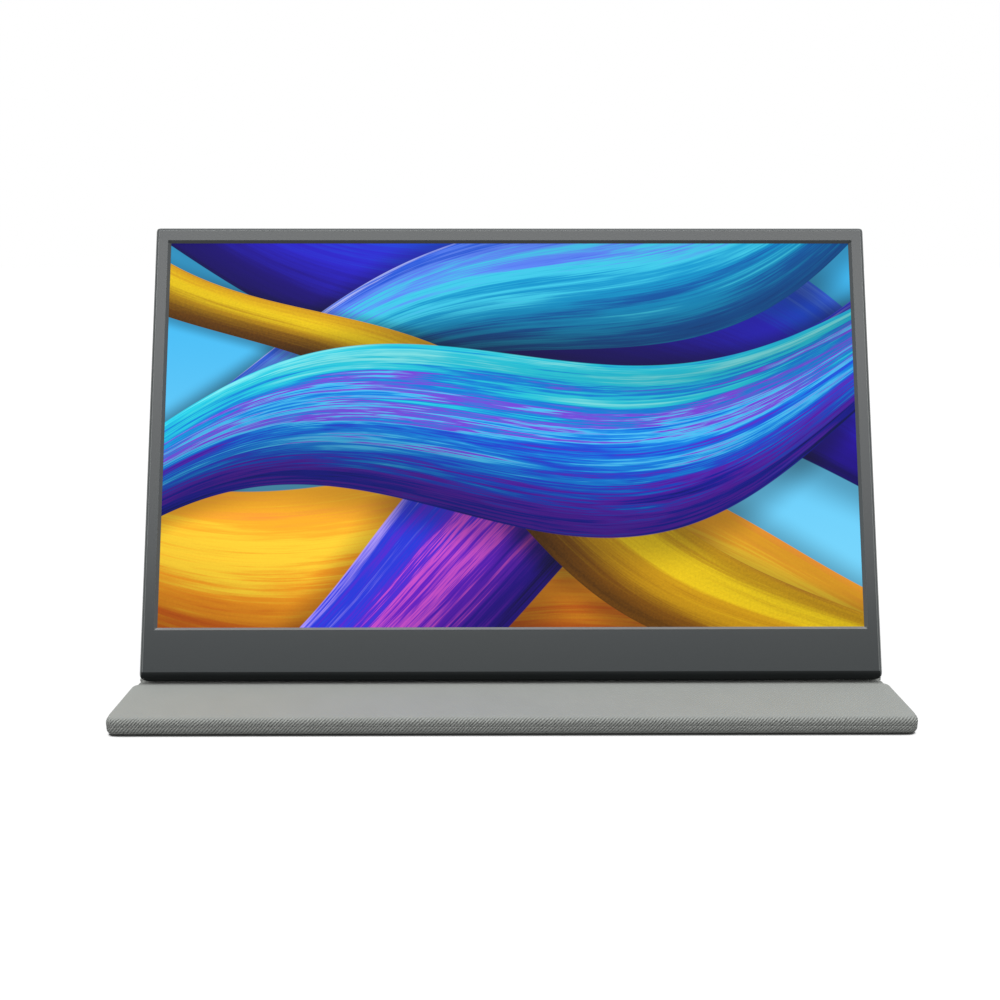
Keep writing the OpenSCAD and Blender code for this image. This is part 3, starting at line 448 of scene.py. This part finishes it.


def bezel_stuff():
    """Satin dark grey, with painted highlights: its bevels and slopes are painted in lighter greys
    where they would catch the light.
    """
    def build(g):
        x, up, _ = on_monitor(g)
        half_w, half_h = SCREEN_W / 2, SCREEN_H / 2
        fine = g.noise(g.place(), 6.0, 3.0, 0.6)
        # Painted highlights, each a mask: the outer bevel, the edge where the bevel meets the face,
        # the slope under the picture and the slopes beside it.
        edge = g.low(BODY_W / 2 - g.abs(x), TOP_Z - up)
        rim = g.step(edge, 0.70, 0.45)
        edge_highlight = g.step(g.abs(edge - 1.40), 0.30, 0.15)
        inside = g.step(g.abs(x), half_w + 1.2, half_w + 0.9)
        sill_highlight = inside * g.step(g.abs(up - (CHIN_H - 0.55)), 0.62, 0.44)
        beside = g.step(g.abs(g.abs(x) - half_w - 0.65), 0.75, 0.60)
        beside = beside * g.step(g.abs(up - CHIN_H - half_h), half_h + 0.2, half_h)
        colour = g.mix(edge_highlight, SATIN, EDGE_HIGHLIGHT)
        colour = g.mix(beside, colour, CHEEK_HIGHLIGHT)
        colour = g.mix(rim, colour, RIM_GREY_AND_HIGHLIGHT)
        colour = g.mix(sill_highlight, colour, SILL_HIGHLIGHT)
        light = 0.94 + fine * 0.12
        return {
            "Base Color": g.mix(1.0, colour, g.grey(light), "MULTIPLY"),
            "Roughness": 0.22 + fine * 0.05,
            "Specular IOR Level": 0.5,
        }
    return material("bezel_satin", build)


def shell_stuff():
    """Matt near-black, with the side walls in grey: two-tone paint that also stands in for a
    highlight along the edge.
    """
    def build(g):
        x, up, _ = on_monitor(g)
        fine = g.noise(g.place(), 4.0, 3.0, 0.6)
        # grey side walls: two-tone paint in the tone of the bezel's painted rim highlight
        colour = g.mix(g.step(g.abs(x), BODY_W / 2 - 0.8, BODY_W / 2 - 0.5), srgb(17, 21, 22), RIM_GREY_AND_HIGHLIGHT)
        light = 0.90 + fine * 0.20
        return {
            "Base Color": g.mix(1.0, colour, g.grey(light), "MULTIPLY"),
            "Roughness": 0.50 + fine * 0.10,
            "Specular IOR Level": 0.15,
            "Normal": g.bump(fine, 0.02 * MM),
        }
    return material("shell_black", build)


TWILL = twill_stuff("grey_twill", srgb(167, 170, 166))
LINING = lining_stuff("grey_microfibre", srgb(96, 98, 100))
BY_SLOT = {
    "bezel": bezel_stuff(),
    "shell": shell_stuff(),
    "screen": screen_stuff(),
    "gasket": grained("black_foam", srgb(14, 15, 16), 0.9, 0.0, 0.2, 2.0, 0.05, 0.1),
    "clear_plastic": grained("clear_guide", srgb(214, 226, 230), 0.12, 0.0, 0.02, 1.0),
    "white_film": grained("white_film", srgb(236, 240, 242), 0.4, 0.0, 0.03, 2.0),
    "bright_metal": grained("plated_steel", srgb(176, 178, 180), 0.28, 1.0, 0.08, 8.0),
    "key": grained("key_satin", srgb(92, 96, 98), 0.34, 0.6, 0.08, 6.0),
    "circuit_board": board_stuff("circuit_board"),
    "flex": grained("amber_film", srgb(176, 108, 34), 0.35, 0.0, 0.10, 3.0),
    "black_plastic": grained("black_plastic", srgb(20, 21, 22), 0.5, 0.0, 0.15, 5.0, 0.01),
    "magnet": grained("nickel", srgb(168, 166, 160), 0.22, 1.0, 0.06, 2.0),
    "board": grained("card_board", srgb(150, 140, 122), 0.9, 0.0, 0.2, 1.5, 0.05, 0.2),
    "twill": TWILL,
    "lining": LINING,
}

for part in frame["record"]["subparts"]:
    for s in frame["nodes"][part["node"]].material_slots:
        s.material = BY_SLOT[part["material_slot"]]


# ---------------------------------------------------------------- meshes of the cover

ARC_STEPS = 10  # in the quarter turn of a board's corner
EDGE_STEPS = 6  # in a quarter turn of its rounded edge


def outline(w, y0, y1, r, pitch=5.0):
    """Points round a rounded rectangle, each with its outward direction: x, y, nx, ny."""
    points = []
    x1 = w / 2
    corners = ((x1 - r, y0 + r, -90), (x1 - r, y1 - r, 0),
        (r - x1, y1 - r, 90), (r - x1, y0 + r, 180))
    for i, (cx, cy, a0) in enumerate(corners):
        for k in range(ARC_STEPS + 1):
            a = math.radians(a0 + 90 * k / ARC_STEPS)
            points.append((cx + r * math.cos(a), cy + r * math.sin(a), math.cos(a), math.sin(a)))
        a = math.radians(a0 + 90)
        nx, ny = math.cos(a), math.sin(a)
        cx2, cy2, _ = corners[(i + 1) % 4]
        start = np.array(points[-1][:2])
        end = np.array((cx2 + r * nx, cy2 + r * ny))
        n = int(np.linalg.norm(end - start) // pitch)
        for k in range(1, n):
            p = start + (end - start) * k / n
            points.append((p[0], p[1], nx, ny))
    return np.array(points)


def make_piece(name, verts, faces, uvs, mat, place=Matrix.Identity(4), smooth=True):
    """A mesh object from points in mm; uvs, in mm too, are one for each point of each face."""
    mesh = bpy.data.meshes.new(name)
    co = [place @ Vector(p) * MM for p in verts]
    mesh.from_pydata(co, [], faces)
    layer = mesh.uv_layers.new(name="cloth")
    flat = [c * MM for face in uvs for uv in face for c in uv]
    layer.data.foreach_set("uv", flat)
    mesh.materials.append(mat)
    if smooth:
        mesh.polygons.foreach_set("use_smooth", [True] * len(mesh.polygons))
    mesh.update()
    obj = bpy.data.objects.new(name, mesh)
    bpy.context.scene.collection.objects.link(obj)
    return obj


def loft(rings, uv_rings):
    """Points, faces and UVs of rings, one over the other, closed by two flat caps."""
    n = len(rings[0])
    verts = [tuple(p) for ring in rings for p in ring]
    flat_uv = [tuple(p) for ring in uv_rings for p in ring]
    faces, uvs = [], []
    for j in range(len(rings) - 1):
        for i in range(n):
            a, b = j * n + i, j * n + (i + 1) % n
            face = (a, b, b + n, a + n)
            faces.append(face)
            uvs.append([flat_uv[k] for k in face])
    last = (len(rings) - 1) * n
    for face in (tuple(range(n))[::-1], tuple(range(last, last + n))):
        faces.append(face)
        uvs.append([flat_uv[k] for k in face])
    return verts, faces, uvs


def section_rings(points, section, main=-1):
    """Rings of points round an outline. section(i) gives the inset and height of each step
    at point i. The cloth lies flat on the main face, whose ring is the first (0) or the last
    (-1), and its coordinate runs on outward from there with the length along the section."""
    steps = [section(i) for i in range(len(points))]
    runs = []
    for s in steps:
        ahead = s if main == 0 else s[::-1]
        out = [-ahead[0][0]]
        for a, b in zip(ahead, ahead[1:]):
            out.append(out[-1] + math.dist(a, b))
        runs.append(out if main == 0 else out[::-1])
    rings, uv_rings = [], []
    for j in range(len(steps[0])):
        rings.append([(x - nx * s[j][0], y - ny * s[j][0], s[j][1])
            for (x, y, nx, ny), s in zip(points, steps)])
        uv_rings.append([(x + nx * out[j], y + ny * out[j])
            for (x, y, nx, ny), out in zip(points, runs)])
    return rings, uv_rings


def round_edge():
    """Inset and height from the lower face, round the edge, to the upper face."""
    turns = [math.pi / 2 * k / EDGE_STEPS for k in range(EDGE_STEPS + 1)]
    low = [(EDGE_R - EDGE_R * math.sin(a), EDGE_R - EDGE_R * math.cos(a)) for a in turns]
    return low + [(i, COVER_T - z) for i, z in reversed(low)][1:]


def covered_board(name, w, y0, y1, place, body, nodes, corner=CORNER_R, lining_in=LINING_IN):
    """A board in twill, its edges turned over to the side with the lining (z = COVER_T)."""
    points = outline(w, y0, y1, corner)
    flat_from = EDGE_R + 0.3
    outer = [(MAX_INSET, 0.0), (flat_from, 0.0)]
    inner = [(flat_from, COVER_T), (lining_in - 0.15, COVER_T), (lining_in, COVER_T - 0.08),
        (lining_in + 0.05, COVER_T - LIP)]
    steps = outer + round_edge() + inner
    rings, uv_rings = section_rings(points, lambda i: steps, main=0)
    verts, faces, uvs = loft(rings, uv_rings)
    obj = make_piece(name, verts, faces, uvs, TWILL, place)
    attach(obj, body)
    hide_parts(*nodes)


def lining_sheet(name, w, y0, y1, place, body, nodes, inset=LINING_IN, corner=1.5):
    """The lining glued inside the turned-over twill, its edge rolled a little."""
    points = outline(w - 2 * inset, y0 + inset, y1 - inset, corner)
    top = COVER_T - 0.05
    steps = [(0.0, COVER_T - 0.5), (0.0, top - 0.16), (0.05, top - 0.05), (0.18, top),
        (0.4 * corner, top), (0.9 * corner, top)]
    rings, uv_rings = section_rings(points, lambda i: steps)
    verts, faces, uvs = loft(rings, uv_rings)
    obj = make_piece(name, verts, faces, uvs, LINING, place)
    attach(obj, body)
    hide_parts(*nodes)


# ---- back panel and strut, standing

STANDING = (
    ("back_panel", AT_BACK @ UPRIGHT, "back_panel", BACK_FOLD_H + WEB_HALF, BACK_TOP),
    ("strut", at_strut() @ UPRIGHT, "strut", WEB_HALF, STRUT_L - WEB_HALF),
)
for stem, place, body, y0, y1 in STANDING:
    covered_board(stem + "_twill", BACK_W, y0, y1, place, body, [stem + "_skin"])
    lining_sheet(stem + "_inside", BACK_W, y0, y1, place, body, [stem + "_lining"])

# ---- spine

covered_board("spine_twill", 2 * BASE_X, SPINE_Y[0], SPINE_Y[1], Matrix.Identity(4), "base",
    ["spine_skin"], corner=SPINE_R - 0.001, lining_in=SPINE_LINING_IN)
lining_sheet("spine_inside", 2 * BASE_X - 8, SPINE_Y[0], SPINE_Y[1], Matrix.Identity(4), "base",
    ["spine_lining"], inset=SPINE_LINING_IN, corner=1.0)


# ---- base: two layers that fold into each other at the front

def layer_section(share):
    """Half of the cover's edge, from the seam between the layers (z = 0) to the outer face:
    a lobe of its own where share is 1, and half of the rolled front fold where it is 0."""
    out = []
    steps = 14
    flat = COVER_T - NOSE_R
    length = flat + NOSE_R * math.pi / 2
    for k in range(steps + 1):
        a = math.pi * k / steps
        lobe = (EDGE_R - EDGE_R * math.sin(a), EDGE_R - EDGE_R * math.cos(a))
        d = length * k / steps
        if d <= flat:
            roll = (0.0, d)
        else:
            b = (d - flat) / NOSE_R
            roll = (NOSE_R - NOSE_R * math.cos(b), flat + NOSE_R * math.sin(b))
        out.append((roll[0] + (lobe[0] - roll[0]) * share, roll[1] + (lobe[1] - roll[1]) * share))
    return [(MAX_INSET, 0.0)] + out + [(out[-1][0] + 0.1, COVER_T), (MAX_INSET, COVER_T)]


def smooth(x):
    """Smooth step from 0 to 1."""
    x = min(1.0, max(0.0, x))
    return x * x * (3 - 2 * x)


def base_layer(name, rear_y, upper, nodes):
    """The layer over (upper) or under the seam plane at z = COVER_T."""
    points = outline(2 * BASE_X, FRONT_Y, rear_y, CORNER_R, pitch=3.0)
    start = FRONT_Y + NOSE_START
    shares = [smooth((y - start) / (NOSE_Y - start)) for x, y, nx, ny in points]
    rings, uv_rings = section_rings(points, lambda i: layer_section(shares[i]))
    side = 1 if upper else -1
    rings = [[(x, y, COVER_T + z * side) for x, y, z in ring] for ring in rings]
    if not upper:  # the cloth runs on from the upper layer, through the front fold
        seam = min(v for u, v in uv_rings[1])
        uv_rings = [[(u, 2 * seam - v) for u, v in ring] for ring in uv_rings]
    verts, faces, uvs = loft(rings, uv_rings)
    if not upper:
        faces = [f[::-1] for f in faces]
        uvs = [f[::-1] for f in uvs]
    obj = make_piece(name, verts, faces, uvs, TWILL)
    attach(obj, "base")
    if nodes:
        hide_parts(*nodes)


base_layer("base_twill_upper_front", CREASE_Y - CREASE_HALF, True, ["front_fold"])
base_layer("base_twill_lower", LOWER_REAR_Y, False, ["base_lower_skin", "base_lower_lining"])

rear = outline(2 * BASE_X, CREASE_Y + CREASE_HALF, UPPER_REAR_Y, CORNER_R)
rings, uv_rings = section_rings(rear, lambda i: [(MAX_INSET, 0.0)] + round_edge()
    + [(2.0, COVER_T), (MAX_INSET, COVER_T)])
rings = [[(x, y, COVER_T + z) for x, y, z in ring] for ring in rings]
verts, faces, uvs = loft(rings, uv_rings)
upper_rear = make_piece("base_twill_upper_rear", verts, faces, uvs, TWILL)
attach(upper_rear, "base")
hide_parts("base_upper_skin", "base_upper_front_lining", "base_upper_rear_lining")


def strip(name, path, width, body=None, nodes=()):
    """Twill swept along X: path is a closed outline in y and z, with the cloth coordinate."""
    n = len(path)
    columns = 60
    verts, faces, uvs = [], [], []
    for i in range(columns + 1):
        x = -width / 2 + width * i / columns
        verts += [(x, y, z) for y, z, s in path]
    for i in range(columns):
        x0 = -width / 2 + width * i / columns
        x1 = x0 + width / columns
        for k in range(n):
            k2 = (k + 1) % n
            faces.append((i * n + k, i * n + k2, (i + 1) * n + k2, (i + 1) * n + k))
            s0, s1 = path[k][2], path[k2][2]
            uvs.append([(x0, s0), (x0, s1), (x1, s1), (x1, s0)])
    last = columns * n
    for face in (tuple(range(n))[::-1], tuple(range(last, last + n))):
        faces.append(face)
        uvs.append([(verts[k][1], verts[k][2]) for k in face])
    obj = make_piece(name, verts, faces, uvs, TWILL)
    if nodes:
        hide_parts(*nodes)
    if body:
        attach(obj, body)
    return obj


def crease_path():
    """Outline of the cloth in the crease between the two boards of the upper layer."""
    y0, y1 = CREASE_Y - CREASE_HALF - EDGE_R, CREASE_Y + CREASE_HALF + EDGE_R
    top = []
    for k in range(25):
        y = y0 + (y1 - y0) * k / 24
        across = min(1.0, abs(y - CREASE_Y) / CREASE_HALF)
        dip = CREASE_DIP * math.cos(across * math.pi / 2) ** 2
        top.append((y, 2 * COVER_T - CREASE_SINK - dip, y))
    return [(y, z - CREASE_T, y) for y, z, s in top] + top[::-1]


strip("base_crease", crease_path(), 2 * (BASE_X - CREASE_NOTCH), "base")


def web_outline(legs):
    """Outer and inner side of a strip that goes round a fold. legs lists, along its outer
    side, the place y, z, the outward direction, the thickness and the cloth coordinate."""
    outer = [(y, z, s) for (y, z, ny, nz, t, s) in legs]
    inner = [(y - ny * t, z - nz * t, s) for (y, z, ny, nz, t, s) in legs]
    return outer + inner[::-1]


def web_thickness(s):
    """What is left of the strip between its outer side and a panel's round end."""
    r = EDGE_R + WEB_GAP
    d = WEB_REACH - s
    if d >= r:
        return WEB_T
    return max(0.04, min(WEB_T, EDGE_R - math.sqrt(r * r - d * d)))


def flat_leg(centre, direction, normal, start=WEB_START, sign=1, shift=0.0):
    """A straight leg along a board, away from the fold's centre. sign and shift turn the
    length from the centre into the cloth coordinate."""
    out = []
    steps = 10
    for k in range(steps + 1):
        s = start + (WEB_REACH - start) * k / steps
        y = centre[0] + direction[0] * s + normal[0] * EDGE_R
        z = centre[1] + direction[1] * s + normal[1] * EDGE_R
        out.append((y, z, normal[0], normal[1], web_thickness(s), s * sign + shift))
    return out


spine_fold = (SPINE_Y[0] - WEB_HALF, COVER_T / 2)
legs = flat_leg(spine_fold, (-1, 0), (0, -1), sign=-1)[::-1]
legs += flat_leg(spine_fold, (1, 0), (0, -1), start=0.0)
strip("spine_web_twill", web_outline(legs), 2 * (BASE_X - SPINE_R), "base", ["spine_web"])

# The rear hinge strip goes from under the base round the foot and up the strut
BEND_STEPS = 12
legs = flat_leg(FOOT, (-1, 0), (0, -1), sign=-1)[::-1]
for k in range(BEND_STEPS + 1):
    a = math.radians(-90) + (math.radians(90) + STRUT_LEAN) * k / BEND_STEPS
    ny, nz = math.cos(a), math.sin(a)
    legs.append((FOOT[0] + EDGE_R * ny, FOOT[1] + EDGE_R * nz, ny, nz, WEB_T,
        EDGE_R * (a + math.pi / 2)))
turn = EDGE_R * (math.pi / 2 + STRUT_LEAN)
along = (-math.sin(STRUT_LEAN), math.cos(STRUT_LEAN))
across = (math.cos(STRUT_LEAN), math.sin(STRUT_LEAN))
legs += flat_leg(FOOT, along, across, shift=turn)
rear_web = strip("rear_hinge_twill", web_outline(legs), HINGE_W, nodes=["rear_hinge_web"])


def fold_path():
    """The fold on the back: its axis, the ways down the strut and up the back panel, and the
    strip's legs from the one to the other, for web_outline."""
    q = AT_BACK @ Vector((0, 0, BACK_FOLD_H))
    down = (math.sin(STRUT_LEAN), -math.cos(STRUT_LEAN))
    up = (math.sin(LEAN), math.cos(LEAN))
    half = WEB_T / 2
    out = []
    for k in range(BEND_STEPS + 1):
        s = -BACK_FOLD_HALF + 2 * BACK_FOLD_HALF * k / BEND_STEPS
        share = smooth((s + 1.0) / 2.0)
        if s < 0:
            y, z = q.y + down[0] * -s, q.z + down[1] * -s
        else:
            y, z = q.y + up[0] * s, q.z + up[1] * s
        a0 = math.atan2(-down[1], -down[0])
        a1 = math.atan2(up[1], up[0])
        a = a0 + (a1 - a0) * share
        ny, nz = math.sin(a), -math.cos(a)
        out.append((y + ny * half, z + nz * half, ny, nz, WEB_T, s))
    return q, down, up, out


q, down, up, legs = fold_path()
back_web = strip("back_fold_twill", web_outline(legs), HINGE_W, nodes=["back_fold_web"])

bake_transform(rear_web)
(q.y + down[0] * 2.2) * MM
(q.z + down[1] * 2.2) * MM
(q.y + up[0] * 2.2) * MM
(q.z + up[1] * 2.2) * MM
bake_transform(back_web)


# ---------------------------------------------------------------- screws of the rear shell

SCREW_AT = [(side * x, up) for x, up in ((160.0, 10.0), (60.0, 4.2), (120.0, 219.8))
    for side in (-1, 1)]
SCREW_TIP, SCREW_FACE = -2.6, 4.5
HEAD_R, HEAD_T = 1.3, 0.7
TIP_R, ROOT_R, CREST_R, THREAD = 0.40, 0.53, 0.66, 0.5
CROSS_W, CROSS_L, CROSS_DEPTH, CROSS_TAPER = 0.17, 0.74, 0.42, 0.85
SCREW_SIDES = 24


def screw_profile():
    """Radius and place along the screw, from its tip to the rim of its head."""
    under = SCREW_FACE - HEAD_T
    start = SCREW_TIP + 0.2
    out = [(TIP_R, SCREW_TIP)]
    for k in range(int((under - SCREW_TIP - 0.3) / THREAD)):
        out += [(ROOT_R, start + k * THREAD), (CREST_R, start + (k + 0.5) * THREAD)]
    out += [(ROOT_R, under - 0.02), (HEAD_R - 0.05, under), (HEAD_R, under + 0.05)]
    return out + [(HEAD_R, SCREW_FACE - 0.22), (HEAD_R - 0.07, SCREW_FACE - 0.07),
        (HEAD_R - 0.22, SCREW_FACE)]


def screw(x0, z0, first):
    """Points and faces of one screw, its faces counted from the point number first."""
    sides = SCREW_SIDES
    round_it = [(math.cos(2 * math.pi * k / sides), math.sin(2 * math.pi * k / sides))
        for k in range(sides)]
    rings = [[(x0 + r * c, y, z0 + r * s) for c, s in round_it] for r, y in screw_profile()]
    verts = [p for ring in rings for p in ring]
    faces = [tuple(range(sides))]
    for j in range(len(rings) - 1):
        for k in range(sides):
            a, b = j * sides + k, j * sides + (k + 1) % sides
            faces.append((a, b, b + sides, a + sides))
    cross = []
    for c, s in ((1, 0), (0, 1), (-1, 0), (0, -1)):
        for u, v in ((CROSS_L, -CROSS_W), (CROSS_L, CROSS_W), (CROSS_W, CROSS_W)):
            cross.append((u * c - v * s, u * s + v * c))
    rim_loop = [Vector((x - x0, z - z0, 0)) for x, y, z in rings[-1]]
    cross_loop = [Vector((u, v, 0)) for u, v in cross]
    rim, top, n = len(verts) - sides, len(verts), len(cross)
    faces += [tuple(rim + i for i in face) for face in tessellate_polygon([rim_loop, cross_loop])]
    verts += [(x0 + u, SCREW_FACE, z0 + v) for u, v in cross]
    verts += [(x0 + u * CROSS_TAPER, SCREW_FACE - CROSS_DEPTH, z0 + v * CROSS_TAPER)
        for u, v in cross]
    floor = top + n
    for k in range(n):
        b = (k + 1) % n
        faces.append((top + k, top + b, floor + b, floor + k))
    for q in range(4):
        faces.append(tuple(floor + (3 * q + i) % n for i in (0, 1, 2, 11)))
    faces.append(tuple(floor + i for i in (2, 5, 8, 11)))
    return verts, [tuple(first + i for i in face) for face in faces]


verts, faces = [], []
for x, up in SCREW_AT:
    more_verts, more_faces = screw(x, up, len(verts))
    verts += more_verts
    faces += more_faces
uvs = [[(verts[i][0], verts[i][2]) for i in face] for face in faces]
screws = make_piece("shell_screws_cross_head", verts, faces, uvs, BY_SLOT["bright_metal"],
    at_monitor(), smooth=False)
shape = bmesh.new()
shape.from_mesh(screws.data)
bmesh.ops.recalc_face_normals(shape, faces=shape.faces)
shape.to_mesh(screws.data)
shape.free()
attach(screws, "monitor")
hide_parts("shell_screws")


# ---------------------------------------------------------------- camera

LENS, SENSOR = 35.56, 36.0
EYE = Vector((-7.8, -475.7, 207.95))
LOOK_DOWN, LOOK_ASIDE = 13.59, -0.286  # degrees

camera = bpy.data.cameras.new("camera")
camera.sensor_width = SENSOR
camera.lens = LENS
camera.clip_start, camera.clip_end = 0.01, 50.0
eye = bpy.data.objects.new("camera", camera)
eye.location = EYE * MM
eye.rotation_euler = (math.radians(90 - LOOK_DOWN), 0, math.radians(LOOK_ASIDE))
bpy.context.scene.collection.objects.link(eye)
bpy.context.scene.camera = eye


# ---------------------------------------------------------------- floor, world and lamps

def seen(g):
    """1 where a ray comes from the camera, a mirror or through glass."""
    path = g.node("ShaderNodeLightPath")
    rays = [g.value(path.outputs[f"Is {kind} Ray"])
        for kind in ("Camera", "Glossy", "Transmission")]
    return g.low(rays[0] + rays[1] + rays[2], 1.0)


CONTACT = 4  # mm: how near the object must be for the painted shadow that darkens the floor's glow
FLOOR_SIZE, FLOOR_Z = 30.0, -0.0002  # metres


def floor_stuff():
    """Plain grey to the light, with a glow that makes it white to the camera. An ambient-occlusion
    mask cuts the glow where the object touches, a painted shadow that keeps the floor dark there."""
    m = bpy.data.materials.new("white_floor")
    m.use_nodes = True
    g = Graph(m.node_tree)
    speck = g.noise(g.place(), 0.02, 2.0)
    grey = g.mix(speck, (0.24, 0.24, 0.24), (0.25, 0.25, 0.25))
    paint = g.node("ShaderNodeBsdfDiffuse", {"Color": grey})
    near = g.node("ShaderNodeAmbientOcclusion", {"Distance": CONTACT * MM}, samples=16)
    # painted shadow: ambient occlusion cuts the glow where the object is near
    painted_contact_shadow = g.step(g.value(near.outputs["AO"]), 0.40, 0.56)
    glow = g.node("ShaderNodeEmission",
        {"Color": (1, 1, 1, 1), "Strength": seen(g) * 0.82 * painted_contact_shadow})
    both = g.node("ShaderNodeAddShader", {0: paint.outputs[0], 1: glow.outputs[0]})
    g.node("ShaderNodeOutputMaterial", {"Surface": both.outputs[0]})
    return m


mesh = bpy.data.meshes.new("floor")
corners = ((-1, -1), (1, -1), (1, 1), (-1, 1))
mesh.from_pydata([(x * FLOOR_SIZE, y * FLOOR_SIZE, FLOOR_Z) for x, y in corners],
    [], [(0, 1, 2, 3)])
mesh.materials.append(floor_stuff())
floor = bpy.data.objects.new("floor", mesh)
bpy.context.scene.collection.objects.link(floor)

world = bpy.data.worlds.new("studio")
world.use_nodes = True
bpy.context.scene.world = world
g = Graph(world.node_tree)
sight = seen(g)
back = g.node("ShaderNodeBackground", {"Color": (1, 1, 1, 1), "Strength": 0.45 + sight * 0.55})
g.node("ShaderNodeOutputWorld", {"Surface": back.outputs[0]})


def lamp(name, kind, energy, place, target, **props):
    """A lamp at a place, aimed at a target."""
    data = bpy.data.lights.new(name, kind)
    data.energy = energy
    for key, v in props.items():
        setattr(data, key, v)
    obj = bpy.data.objects.new(name, data)
    obj.location = place
    aim = Vector(target) - Vector(place)
    obj.rotation_euler = aim.to_track_quat("-Z", "Y").to_euler()
    obj.visible_camera = False
    bpy.context.scene.collection.objects.link(obj)
    return obj


lamp("overhead", "SUN", 1.8, (0.0, -0.3, 2.0), (0, 0, 0), angle=math.radians(30))
# Two softboxes that only gloss shows: name, power, place, height of the box
SOFTBOXES = (("softbox", 14.9, (0.0, -1.3, 1.03), 0.9),
    ("softbox_high", 7.0, (0.0, -1.15, 1.30), 0.66))
for name, energy, place, height in SOFTBOXES:
    box = lamp(name, "AREA", energy, place, (0, 0, 0.12), shape="RECTANGLE", size=2.4,
        size_y=height)
    box.visible_diffuse = False

bpy.context.scene.view_settings.view_transform = "Standard"
